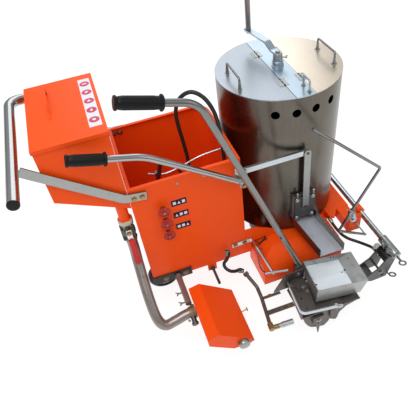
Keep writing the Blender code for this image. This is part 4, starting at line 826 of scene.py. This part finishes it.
def brackets():
    near = -0.2278
    plate = block((-0.654, near, 0.222), (-0.488, near + 0.005, 0.2665))
    instead("spreader_bracket", plate, "black_steel", 0.001)
    collar = aimed(hollow([(0.0127, 0), (0.015, 0.001), (0.015, 0.012), (0.0127, 0.013)], 36),
        (-0.5495, -0.23, 0.243), NEAR)
    post = rod((-0.55, -0.228, 0.243), (-0.549, -0.38, 0.243), 0.0127, 36)
    show("spreader_post", merged(post, collar), "pipe", "frame")
    fasteners("bracket_bolts", [hex_bolt((x, near, 0.244), NEAR, 0.014, 0.006) for x in (-0.6, -0.515)],
        "rust")
    wings = [wing_screw((-0.56, y, z), (-1, -0.15, 0.25), 0.024, 0.009) for y,
        z in ((-0.322, 0.246), (-0.366, 0.24))]
    fasteners("post_wing_screws", wings, "zinc")
    dressed("spreader_stay", "gunmetal", 0.0006)
    dressed("rest_bracket", "bright_zinc", 0.0008)
    bolts = [hex_bolt((x, -0.2268, 0.31), NEAR, 0.012, 0.006) for x in (-0.29, -0.25)]
    fasteners("rest_bracket_bolts", bolts, "brass", "frame")
    studs = [rod((-0.206, y, 0.32), (-0.206, y, 0.3255), 0.0048, 20) for y in (-0.262, -0.3)]
    fasteners("rest_bracket_studs", studs, "brass", "frame")
    wire = swept(smooth_route([(-0.214, -0.25, 0.3), (-0.222, -0.3, 0.285), (-0.232, -0.35, 0.276),
        (-0.226, -0.39, 0.286), (-0.216, -0.405, 0.302)], 0.004), circle(0.0028, 14))
    show("rest_spring", wire, "dull_tube")
    box_nut = [hex_bolt((-0.404, near - 0.0005, 0.2165), NEAR, 0.012, 0.006)]
    fasteners("stay_nut", box_nut, "gunmetal", "frame")


def push_bar():
    x, z = -0.9515, 0.957
    far = 0.203
    route = [(x, -0.384, z), (x, far, z), (-0.855, far, 0.935), (-0.655, far, 0.716), (-0.575, far, 0.71)]
    path = rounded(route[:3], 0.06, 20)[:-1] + rounded([route[1]] + route[2:], 0.05, 12)[1:]
    instead("push_bar", swept(path, circle(0.0185, 48)), "chrome")
    plug = turned([(0, 0), (0.0165, 0), (0.0178, 0.0008), (0.0178, 0.003), (0.014, 0.0036), (0, 0.0036)], 40)
    show("push_bar_plug", aimed(plug, (x, -0.3838, z), NEAR), "rubber", "frame")
    dressed("push_bar_strap", "zinc", 0.001)
    bolts = [hex_bolt((bx, -0.2304, 0.7165), NEAR, 0.013, 0.006) for bx in (-0.634, -0.605)]
    fasteners("push_bar_strap_bolts", bolts, "brass", "frame")


# ---------------------------------------------------------------- kettle
def kettle():
    wall = 0.003
    profile = [
        (0.132, TANK_Z0), (TANK_R - 0.002, TANK_Z0), (TANK_R, TANK_Z0 + 0.002), (TANK_R, TANK_Z1 - 0.002),
        (TANK_R - 0.0015, TANK_Z1), (0.195, TANK_Z1), (0.195, TANK_Z1 - wall),
        (TANK_R - wall, TANK_Z1 - wall), (TANK_R - wall, TANK_Z0 + wall), (0.132, TANK_Z0 + wall),
    ]
    shell = hollow(profile, 144)
    first, step, height, radius = -26.2, 18.1, 0.874, 0.0155
    for turn in (0, 180):
        for i in range(4):
            angle = radians(first + step * i + turn)
            reach = Vector((sin(angle), -cos(angle), 0))
            lift = Vector((0, 0, height))
            shell = cut(shell, rod(reach * 0.21 + lift, reach * 0.25 + lift, radius, 36))
    gate_x = 0.008
    shell = cut(shell, block((gate_x - 0.026, -0.26, 0.392), (gate_x + 0.026, -0.2, 0.436)))
    # The tank look carries the painted ground reflection.
    instead("tank_shell", shell, "tank", sharp=30)
    reach = Vector((cos(radians(100)), sin(radians(100)), 0)) * (TANK_R + 0.0001)
    ends = [reach + Vector((0, 0, z)) for z in (TANK_Z0 + 0.004, TANK_Z1 - 0.004)]
    show("tank_seam", rod(*ends, 0.0011, 10, 0.0003), "tank", "frame")
    pot = hollow([(0.186, 0.376), (0.19, 0.376), (0.19, 0.9265), (0.187, 0.9265), (0.187, 0.38)], 96)
    base = turned([(0, 0.372), (0.188, 0.372), (0.19, 0.376), (0.186, 0.3765), (0, 0.3765)], 96)
    duct = cut(block((gate_x - 0.024, -0.227, 0.394), (gate_x + 0.024, -0.184, 0.434)),
        block((gate_x - 0.021, -0.25, 0.397), (gate_x + 0.021, -0.17, 0.431)))
    instead("tank_pot", merged(pot, base, duct), "sheet")
    dressed("burner", "black_steel", 0.0006)


HINGE_GAP, HINGE_LIFT = 0.0012, 0.0015
REAR_HINGES, FRONT_HINGES = (0.115, -0.116), (-0.111, 0.11)


def lids():
    low = TANK_Z1 + 0.0003
    high = low + 0.003
    strip_x0, strip_x1, strip_z = -0.033, 0.037, 0.9338
    rear, front = (degrees(atan2(abs(x), sqrt(TANK_R**2 - x * x))) for x in (strip_x0, strip_x1))
    near = arc((0, 0), TANK_R, -90 - rear, -90 + front, 12)
    far = arc((0, 0), TANK_R, 90 - front, 90 + rear, 12)
    strip = prism(near + far, "z", low, strip_z)
    strip = cut(strip, rod((0, 0, 0.9), (0, 0, 1.0), 0.0108, 32))
    for edge, places in ((strip_x0 - HINGE_GAP, REAR_HINGES), (strip_x1 + HINGE_GAP, FRONT_HINGES)):
        for y in places:
            ends = [(edge, y + reach, high + HINGE_LIFT) for reach in (-0.0245, 0.0245)]
            strip = cut(strip, rod(*ends, 0.0031, 24))
    bearing = hollow([(0.0108, -0.001), (0.0225, -0.001), (0.0225, 0.0035), (0.0185, 0.005), (0.017, 0.015),
        (0.0108, 0.015)], 48)
    handle = tube([(0.02, -0.21, low + 0.001), (0.02, -0.21, 0.9735), (0.02, -0.165, 0.9735),
        (0.02, -0.165, low + 0.001)], 0.0035, 0.01, (1, 0, 0), 20)
    feet = [hex_bolt((0.02, y, strip_z - 0.0003), UP, 0.011, 0.006) for y in (-0.21, -0.165)]
    instead("lid_strip", merged(strip, moved(bearing, (0, 0, strip_z)), handle), "strip", 0.0005)
    fasteners("strip_handle_nuts", feet, "zinc")
    # Each half lid gets its own painted reflection: cool sky on the rear one, warm on the front one.
    for side, node, look in ((-1, "lid_rear", "lid_sky_reflection"), (1, "lid_front", "lid_warm_reflection")):
        half_lid(side, node, look, low, high, strip_x0 if side < 0 else strip_x1)


def half_lid(side, node, look, low, high, strip_edge):
    edge = strip_edge + side * HINGE_GAP
    radius = TANK_R + 0.0005
    angle = 90 - degrees(atan2(abs(edge), sqrt(radius**2 - edge**2)))
    middle = 180 if side < 0 else 0
    sheet = prism(arc((0, 0), radius, middle - angle, middle + angle, 96), "z", low, high)
    instead(node, sheet, look, 0.0006, 30)
    x, y_near, y_far = side * 0.18, -0.085, 0.04
    rise = 0.0395 if side < 0 else 0.043
    bail = tube([(x, y_near, high - 0.001), (x, y_near, high + rise), (x, y_far, high + rise),
        (x, y_far, high - 0.001)], 0.004, 0.009, (1, 0, 0), 22)
    show(node + "_bail", bail, "dull_tube", node)
    nuts = []
    for y in (y_near, y_far):
        for lift, across in ((0.0, 0.0125), (0.0065, 0.011), (0.0135, 0.0095)):
            nuts.append(hex_bolt((x, y, high - 0.0002 + lift), UP, across, 0.0055, washer=lift == 0.0))
    fasteners(node + "_bail_nuts", nuts, "zinc", node)
    for number, y in enumerate(REAR_HINGES if side < 0 else FRONT_HINGES):
        hinge(node, f"{node}_hinge_{number + 1}", edge, side, y, high)


def hinge(node, name, edge, side, y, high):
    """Small butt hinge: one leaf and half the knuckles on the lid, the rest on the strip."""
    half = 0.0235

    def leaf(inner, outer, bottom, top):
        corners = (edge + side * inner, y - half, high + bottom), (edge + side * outer, y + half, high + top)
        return block(tuple(map(min, *corners)), tuple(map(max, *corners)))

    def knuckles(spans):
        lines = [[(edge, y + end, high + HINGE_LIFT) for end in span] for span in spans]
        return [rod(*line, 0.0026, 18, 0.0003) for line in lines]

    rivets = [domed_bolt((edge + side * 0.011, y + k, high + 0.0012), UP, 0.0024, 0.001)
        for k in (-0.015, 0.0, 0.015)]
    moving = knuckles(((-half, -0.0145), (-0.0045, 0.0045), (0.0145, half)))
    fixed = knuckles(((-0.014, -0.005), (0.005, 0.014)))
    show(name, merged(leaf(0.001, 0.0185, -0.0002, 0.0012), *rivets), "zinc", node, 0.0003)
    show(name + "_knuckles", merged(*moving), "black_steel", node)
    show(name + "_fixed", merged(leaf(-0.001, -0.015, 0.0004, 0.0016), *fixed), "zinc", "frame",
        0.0003)


def stirrer():
    dressed("stirrer", "black_steel", 0.0006)
    top = 0.9491
    hub = turned([(0, 0), (0.016, 0), (0.017, 0.001), (0.017, 0.03), (0.016, 0.0315), (0.015, 0.0345),
        (0, 0.0345)], 48)
    collar = turned([(0, 0), (0.02, 0), (0.0205, 0.0008), (0.0205, 0.0048), (0.0195, 0.0056), (0, 0.0056)],
        48)
    outer, inner = Vector((-0.037, 0.184, 1.002)), Vector((0, 0, 0.982))
    flat = Vector((outer.x, outer.y, 0)).normalized()
    route = [inner + flat * 0.006, inner + flat * 0.028, inner + flat * 0.066 + Vector((0, 0, 0.02)), outer
        + flat * 0.012]
    arm = swept(rounded(route, 0.03, 6), rectangle(0.026, 0.006))
    end = turned([(0, 0), (0.013, 0), (0.013, 0.006), (0, 0.006)], 36)
    end = aimed(end, outer + flat * 0.008 - Vector((0, 0, 0.003)), UP)
    pin = rod((outer.x, outer.y, 1.0), (outer.x, outer.y, 1.134), 0.006, 24)
    hub, collar = moved(hub, (0, 0, top)), moved(collar, (0, 0, top + 0.0002))
    # The crank shares the strip's painted sky reflection.
    instead("crank", merged(hub, collar, arm, end, pin), "strip", 0.0006)
    fasteners("crank_nuts", [hex_bolt((outer.x, outer.y, 0.999), (0, 0, -1), 0.015, 0.009),
        hex_bolt((0, 0, top + 0.0344), UP, 0.015, 0.007)], "zinc", "stirrer")
    fasteners("crank_wing_screw", [wing_screw((0.012, -0.012, top + 0.02), (0.75, -0.55, 0.1), 0.018, 0.009)],
        "zinc", "stirrer")
    profile = [(0.0064, 1.006), (0.0098, 1.0062), (0.01, 1.008), (0.01, 1.1405), (0.0092, 1.1442),
        (0.007, 1.146), (0.004, 1.146), (0.004, 1.138), (0.0064, 1.138)]
    instead("crank_sleeve", moved(hollow(profile, 40), (outer.x, outer.y, 0)), "dull_tube")


# ---------------------------------------------------------------- gate and hand levers
def grip(node, start, end):
    """Ribbed rubber grip with a small flange at its outer end and a large one inside."""
    start, end = Vector(start), Vector(end)
    length = (end - start).length
    profile = [(0, 0), (0.015, 0), (0.0178, 0.0006), (0.0198, 0.003), (0.0198, 0.0068), (0.0172, 0.0095),
        (0.0165, 0.0115), (0.0174, 0.014), (0.018, 0.019)]
    profile += [(0.018, length - 0.017), (0.0174, length - 0.012), (0.019, length - 0.0098),
        (0.0226, length - 0.0078), (0.0229, length - 0.0055), (0.0224, length - 0.003), (0.019, length),
        (0, length)]
    core = aimed(turned(profile, 60), start, end - start)
    ribs = []
    along = (end - start).normalized()
    side = along.orthogonal().normalized()
    count = 22
    for i in range(count):
        around = Matrix.Rotation(2 * pi * i / count, 3, along) @ side
        one = start + along * 0.022 + around * 0.0174
        ribs.append(rod(one, one + along * (length - 0.044), 0.0012, 8, 0.0004))
    instead(node, merged(core, *ribs), "rubber")


def gate():
    dressed("gate_housing", "scorched", 0.0008)
    dressed("gate_blade", "sheet", 0.0005)
    dressed("gate_plate", "gunmetal", 0.0008)
    bolts = [hex_bolt((x, -0.249, z), NEAR, 0.0095, 0.005) for x,
        z in ((-0.027, 0.479), (-0.027, 0.383), (0.041, 0.479), (0.041, 0.383))]
    fasteners("gate_bolts", bolts, "bright_zinc")
    hooks = [rod((x, -0.247, 0.492), (x, -0.247, 0.513), 0.004, 16) for x in (-0.026, 0.042)]
    hooks += [domed_bolt((x, -0.247, 0.5128), UP, 0.006, 0.004) for x in (-0.026, 0.042)]
    fasteners("gate_posts", hooks, "zinc", "frame")
    dressed("gate_lever", "zinc", 0.0008)
    fasteners("gate_lever_bolts", [hex_bolt((0.007, -0.2566, 0.437), NEAR, 0.013, 0.0058),
        domed_bolt((0.003, -0.2564, 0.711), NEAR, 0.0058, 0.003)], "gunmetal", "gate_lever")
    dressed("lever_bracket", "zinc", 0.0006)
    tube_path = rounded([(-0.678, -0.266, 0.93372), (-0.57, -0.266, 0.9045), (-0.256, -0.266, 0.68)], 0.2, 20)
    bar = swept(tube_path, circle(0.011, 40))
    outline = [
        (-0.279, 0.715), (-0.258, 0.672), (-0.256, 0.646), (-0.237, 0.646), (-0.232, 0.68),
        (-0.232, 0.716), (-0.242, 0.722), (-0.262, 0.735), (-0.276, 0.733),
    ]
    plate = cut(prism(outline, "y", -0.257, -0.2515),
        rod((-0.246, -0.27, 0.656), (-0.246, -0.24, 0.656), 0.0054, 24))
    pin = rod((-0.243, -0.253, 0.711), (-0.243, -0.2445, 0.711), 0.0042, 20)
    instead("hand_lever", merged(bar, plate, pin), "chrome", 0.0005)
    fasteners("hand_lever_bolts", [hex_bolt((-0.246, -0.2612, 0.656), NEAR, 0.014, 0.006)], "brass", "frame")
    fasteners("hand_lever_pin", [domed_bolt((-0.266, -0.277, 0.6871), NEAR, 0.005, 0.003)], "zinc",
        "hand_lever")
    grip("hand_lever_grip", (-0.796, -0.266, 0.967), (-0.679, -0.266, 0.934))
    dressed("gate_link", "bright_zinc", 0.0006)
    dressed("chute", "sheet", 0.0006)
    rear, front = -0.2356, -0.4114
    corners = (-0.0485, rear, 0.3598), (0.053, rear, 0.3522), (0.1002, front, 0.2962), (-0.0002, front, 0.3)
    lining = loft(*([(x, y, z + lift) for x, y, z in corners] for lift in (0.0028, 0.0056)), folded=True)
    show("chute_floor", lining, "chute_floor", "frame")


# ---------------------------------------------------------------- marking shoe
SHOE_RIM = Vector((0.0468, -0.4543, 0.241))
SHOE_YAW, SHOE_TILT = radians(-4.0), radians(5.9)


def shoe_point(across, along, height):
    """A point in the hopper's own tilted frame, measured from the middle of its rim."""
    side = Vector((cos(SHOE_TILT) * cos(SHOE_YAW), cos(SHOE_TILT) * sin(SHOE_YAW), -sin(SHOE_TILT)))
    back = Vector((-sin(SHOE_YAW), cos(SHOE_YAW), 0))
    return SHOE_RIM + side * across + back * along + side.cross(back) * height


def shoe_slab(x0, x1, y0, y1, low, high):
    """A thin block in the hopper's tilted frame."""
    corners = (x0, y0), (x1, y0), (x1, y1), (x0, y1)
    return loft(*([shoe_point(x, y, z) for x, y in corners] for z in (low, high)))


def marking_shoe():
    dressed("shoe_hopper", "slate", 0.0007)
    dressed("shoe_gate", "hopper_floor", 0.0004)
    over = shoe_point(0, 0, 1) - shoe_point(0, 0, 0)
    floor = shoe_slab(-0.1, 0.049, -0.07, 0.066, -0.0222, -0.0219)
    show("hopper_floor_plate", floor, "hopper_floor", "shoe", 0.0004)
    strip = shoe_slab(-0.1035, -0.086, -0.072, -0.003, -0.019, -0.0176)
    show("shoe_gate_edge", strip, "hopper_floor", "shoe_gate", 0.0003)
    # A thin black disc stands in for the hole: painted shade, not a real opening.
    hole = aimed(turned([(0, 0), (0.0042, 0), (0.0042, 0.001), (0, 0.001)], 24),
        shoe_point(-0.0945, -0.035, -0.0178), over)
    show("shoe_gate_hole_painted_shade", hole, "black_steel", "shoe_gate")
    hook = swept([shoe_point(0.028, -0.004, -0.018), shoe_point(0.034, -0.003, -0.012),
        shoe_point(0.048, 0.001, -0.0085)], rectangle(0.004, 0.004), over)
    show("shoe_gate_hook", hook, "black_steel", "shoe_gate", 0.0004)
    rivets = [domed_bolt(shoe_point(x, 0.066, 0.0002), over, 0.0034, 0.0014) for x in (0.012, 0.024)]
    rivets.append(domed_bolt(shoe_point(0.082, 0.05, -0.006), over, 0.003, 0.0014))
    fasteners("hopper_rivets", rivets, "gunmetal", "shoe")
    dressed("shoe_body", "scorched", 0.0007)
    dressed("shoe_strap", "bright_zinc", 0.0009)
    strap_bolts = [hex_bolt((0.001, -0.5868, 0.2), NEAR, 0.012, 0.0042),
        hex_bolt((-0.014, -0.579, 0.206), UP, 0.008, 0.005)]
    fasteners("shoe_strap_bolts", strap_bolts, "bright_zinc", "shoe")
    bolts = (
        ((-0.13, -0.42, 0.19), UP, 0.01, 0.005), ((-0.086, -0.446, 0.19), UP, 0.011, 0.007),
        ((-0.08, -0.47, 0.19), UP, 0.009, 0.006), ((-0.146, -0.3965, 0.22), FAR, 0.01, 0.005),
        ((-0.088, -0.4005, 0.22), NEAR, 0.012, 0.006), ((-0.09, -0.4005, 0.168), NEAR, 0.012, 0.006),
    )
    fasteners("shoe_bolts", [hex_bolt(*row) for row in bolts], "zinc", "shoe")
    skirt_bolts = [domed_bolt((x, -0.5582, z), NEAR, 0.0048, 0.003) for x,
        z in ((0.012, 0.076), (0.006, 0.139))]
    skirt_bolts += [hex_bolt((-0.075, -0.5662, 0.114), NEAR, 0.013, 0.006)]
    fasteners("skirt_bolts", skirt_bolts, "zinc", "shoe")
    manifold()
    carrier()
    y = -0.383
    path = rounded([(-0.494, y, 1.142), (-0.4042, y, 1.116), (-0.0732, y, 0.25)], 0.085, 22)
    lug = block((-0.098, -0.3942, 0.196), (-0.0645, -0.37, 0.262))
    instead("shoe_lever", merged(swept(path, circle(0.011, 40)), bevelled(lug, 0.003, 3)), "dull_tube")
    grip("shoe_lever_grip", (-0.62, y, 1.1784), (-0.495, y, 1.14233))
    fasteners("shoe_lever_pin", [domed_bolt((-0.165, y - 0.0108, 0.47), NEAR, 0.004, 0.002)], "black_steel",
        "shoe")


def manifold():
    route = [(-0.288, -0.338, 0.243), (-0.264, -0.385, 0.207), (-0.266, -0.44, 0.2), (-0.284, -0.566, 0.2)]
    pipe = swept(rounded(route, 0.022, 10), circle(0.0075, 28))
    nut = aimed(turned([(0, 0), (0.0115, 0), (0.0125, 0.001), (0.0125, 0.014), (0.0115, 0.015), (0, 0.015)],
        6), (-0.2925, -0.3292, 0.2495), (0.007, -0.0133, -0.011))
    flats = []
    for middle, half, x_end in ((-0.44, 0.006, -0.186), (-0.51, 0.01, -0.16)):
        flats.append(block((-0.272, middle - half, 0.1975), (x_end, middle + half, 0.2015)))
    instead("gas_manifold", merged(pipe, nut, *flats), "scorched", 0.0005)
    elbow = merged(rod((-0.286, -0.575, 0.2), (-0.25, -0.5777, 0.2), 0.0095, 28),
        rod((-0.2825, -0.555, 0.2), (-0.2845, -0.584, 0.2), 0.011, 28))
    show("manifold_elbow", elbow, "brass", "shoe")
    barrel = aimed(hollow([(0.009, 0), (0.01, 0), (0.01, 0.01), (0.0115, 0.012), (0.0115, 0.056),
        (0.0108, 0.058), (0.009, 0.058)], 36), (-0.254, -0.5775, 0.2), (0.058, -0.002, 0))
    rings = [torus((-0.254 + d, -0.5775 - d * 0.035, 0.2), (1, -0.035, 0), 0.0112, 0.0012)
        for d in (0.016, 0.024, 0.05)]
    show("manifold_nozzle", merged(barrel, *rings), "bright_zinc", "shoe")
    bolts = [hex_bolt((x, y, 0.2014), UP, 0.0095, 0.004) for x,
        y in ((-0.232, -0.44), (-0.21, -0.51), (-0.18, -0.51))]
    fasteners("manifold_bolts", bolts, "brass", "shoe")


def carrier():
    dressed("shoe_carrier", "gunmetal", 0.0007)
    x, z = 0.268, 0.305
    sleeve = hollow([(0.0132, 0), (0.019, 0), (0.0195, 0.0008), (0.0195, 0.0962), (0.019, 0.097),
        (0.0132, 0.097)], 48)
    show("carrier_sleeve", aimed(sleeve, (x, -0.522, z), FAR), "zinc", "shoe")
    ring = torus((0.244, -0.464, 0.32), (0.85, -0.35, 0.3), 0.0135, 0.005, 40, 16)
    bush = aimed(turned([(0, 0), (0.0088, 0), (0.0088, 0.01), (0.007, 0.012), (0, 0.012)], 28),
        (0.25, -0.464, 0.317), (-0.5, -0.6, 0.5))
    show("carrier_ring", merged(ring, bush), "dull_tube", "shoe")
    nuts = [hex_bolt((0.212, -0.5218, 0.23), NEAR, 0.012, 0.006),
        hex_bolt((0.238, -0.44, 0.286), (-0.4, -0.5, 0.7), 0.015, 0.01),
        hex_bolt((0.248, -0.5, 0.318), (-0.6, -0.2, 0.7), 0.014, 0.008),
        domed_bolt((0.225, -0.47, 0.27), (-0.5, -0.6, 0.6), 0.006, 0.004)]
    fasteners("carrier_nuts", nuts, "dull_tube", "shoe")
    pin = rod((0.212, -0.524, 0.23), (0.212, -0.456, 0.23), 0.0045, 24)
    show("carrier_pin", pin, "gunmetal", "shoe")
    eye = torus((x, -0.562, z), (0, 0.25, 1), 0.012, 0.0034, 44, 16)
    shank = rod((x, -0.5305, z), (x, -0.551, z), 0.0045, 24)
    instead("carrier_eyebolt", merged(shank, eye), "dull_tube")
    low = Vector((0.264, -0.533, 0.199))
    second = torus(low, (0.1, 0.3, 1), 0.0122, 0.0036, 44, 16)
    stem = rod((0.233, -0.508, 0.205), low + Vector((-0.01, 0.008, 0)), 0.0036, 20)
    show("carrier_lower_eyebolt", merged(second, stem), "dull_tube", "shoe")
    cheek = hex_bolt((0.225, -0.5215, 0.202), NEAR, 0.01, 0.004)
    fasteners("carrier_cheek_bolt", [cheek], "gunmetal", "shoe")


# ---------------------------------------------------------------- pointer, wheels, torch
def pointer():
    y = -0.314
    low, bend = Vector((0.1365, y, 0.295)), Vector((0.281, y, 0.587))
    tip, foot = Vector((-0.017, y, 0.862)), Vector((0.274, y, 0.212))
    main = swept(rounded([tip, bend, low, foot], 0.012, 12), circle(0.0058, 28), FAR)
    stay = rod(foot + Vector((0.002, 0, -0.004)), (0.214, y, 0.313), 0.0035, 20)
    instead("pointer_rod", merged(main, stay), "dull_tube")
    dressed("pointer_clamp", "zinc", 0.0006)
    fasteners("pointer_wing_screw", [wing_screw((0.186, y - 0.003, 0.398), (-0.85, -0.2, 0.5), 0.026, 0.011)],
        "zinc", "pointer")
    bolts = [hex_bolt((0.205, -0.3085, 0.33), NEAR, 0.014, 0.007),
        hex_bolt((0.201, -0.3085, 0.352), NEAR, 0.01, 0.006)]
    fasteners("pointer_bolts", bolts, "bright_zinc", "pointer")
    nut = aimed(turned([(0, 0), (0.0105, 0), (0.0115, 0.001), (0.0115, 0.011), (0.0105, 0.012), (0, 0.012)],
        6), (0.15, -0.1995, 0.274), (0.0, -1.0, -0.15))
    show("heater_outlet_nut", nut, "bright_zinc", sharp=25)


def mirrored(profile, half):
    """A wheel's closed profile from its near half, whose widths are shares of half."""
    return [(r, -half * share) for r, share in profile] + [(r, half * share) for r, share in profile[::-1]]


def wheel(node, centre, radius, half, hub, rim, bolts):
    """Solid rubber tyre with tread grooves on a pressed steel hub."""
    shoulder = radius - 0.012
    groove = radius - 0.003
    tyre = mirrored([
        (rim, 0.85), (rim + 0.004, 0.96), (shoulder, 1), (radius - 0.004, 0.8), (radius, 0.55), (radius, 0.4),
        (groove, 0.36), (groove, 0.28), (radius, 0.24),
    ], half)
    instead(node, aimed(hollow(tyre, 96), centre, FAR), "rubber")
    disc = mirrored([
        (hub * 0.5, 1.02), (hub, 1.02), (hub, 0.35), (rim - 0.008, 0.3), (rim - 0.003, 0.8),
        (rim + 0.0003, 0.82),
    ], half)
    show(node + "_hub", aimed(hollow(disc, 72), centre, FAR), "zinc", body_of(node))
    heads = []
    for side in (-1, 1):
        for i in range(bolts):
            angle, reach = 2 * pi * i / bolts, (hub + rim) / 2
            offset = Vector((reach * cos(angle), side * half * 0.32, reach * sin(angle)))
            heads.append(hex_bolt(Vector(centre) + offset, (0, side, 0), 0.01, 0.005))
    fasteners(node + "_bolts", heads, "gunmetal", body_of(node))


def wheels():
    for side, y in (("near", -0.27), ("far", 0.27)):
        wheel("front_wheel_" + side, (0.02, y, 0.115), 0.115, 0.025, 0.0285, 0.076, 5)
    wheel("caster_wheel", (-0.6, -0.06, 0.07), 0.07, 0.023, 0.0205, 0.046, 4)
    dressed("front_axle", "zinc", 0.0008)
    dressed("caster_fork", "zinc", 0.0012)


def torch():
    stem = swept(smooth_route([(-0.618, -0.03, 0.278), (-0.56, -0.05, 0.49), (-0.5, -0.07, 0.715)], 0.02),
        circle(0.0085, 28))
    valve = rod((-0.442, -0.068, 0.665), (-0.432, -0.07, 0.628), 0.0045, 20)
    saddle = bevelled(block((-0.53, -0.074, 0.646), (-0.51, -0.056, 0.668)), 0.003, 2)
    clip = bevelled(block((-0.2558, -0.086, 0.692), (-0.2458, -0.07, 0.708)), 0.003, 2)
    instead("torch", merged(stem, valve, saddle, clip), "gunmetal")
    tube_path = smooth_route([(-0.556, -0.062, 0.668), (-0.5, -0.066, 0.65), (-0.438, -0.068, 0.66),
        (-0.35, -0.074, 0.69), (-0.25, -0.078, 0.7)], 0.005)
    show("torch_tube", swept(tube_path, circle(0.0036, 20)), "bright_zinc")
    dressed("gas_valve_rail", "brass", 0.0005)


chassis()
gas_box()
bead_box()
name_plates()
for number, height in ((1, 0.63), (2, 0.57), (3, 0.508)):
    handwheel(number, height)
bead_feed()
spreader()
brackets()
push_bar()
kettle()
lids()
stirrer()
gate()
marking_shoe()
pointer()
wheels()
torch()
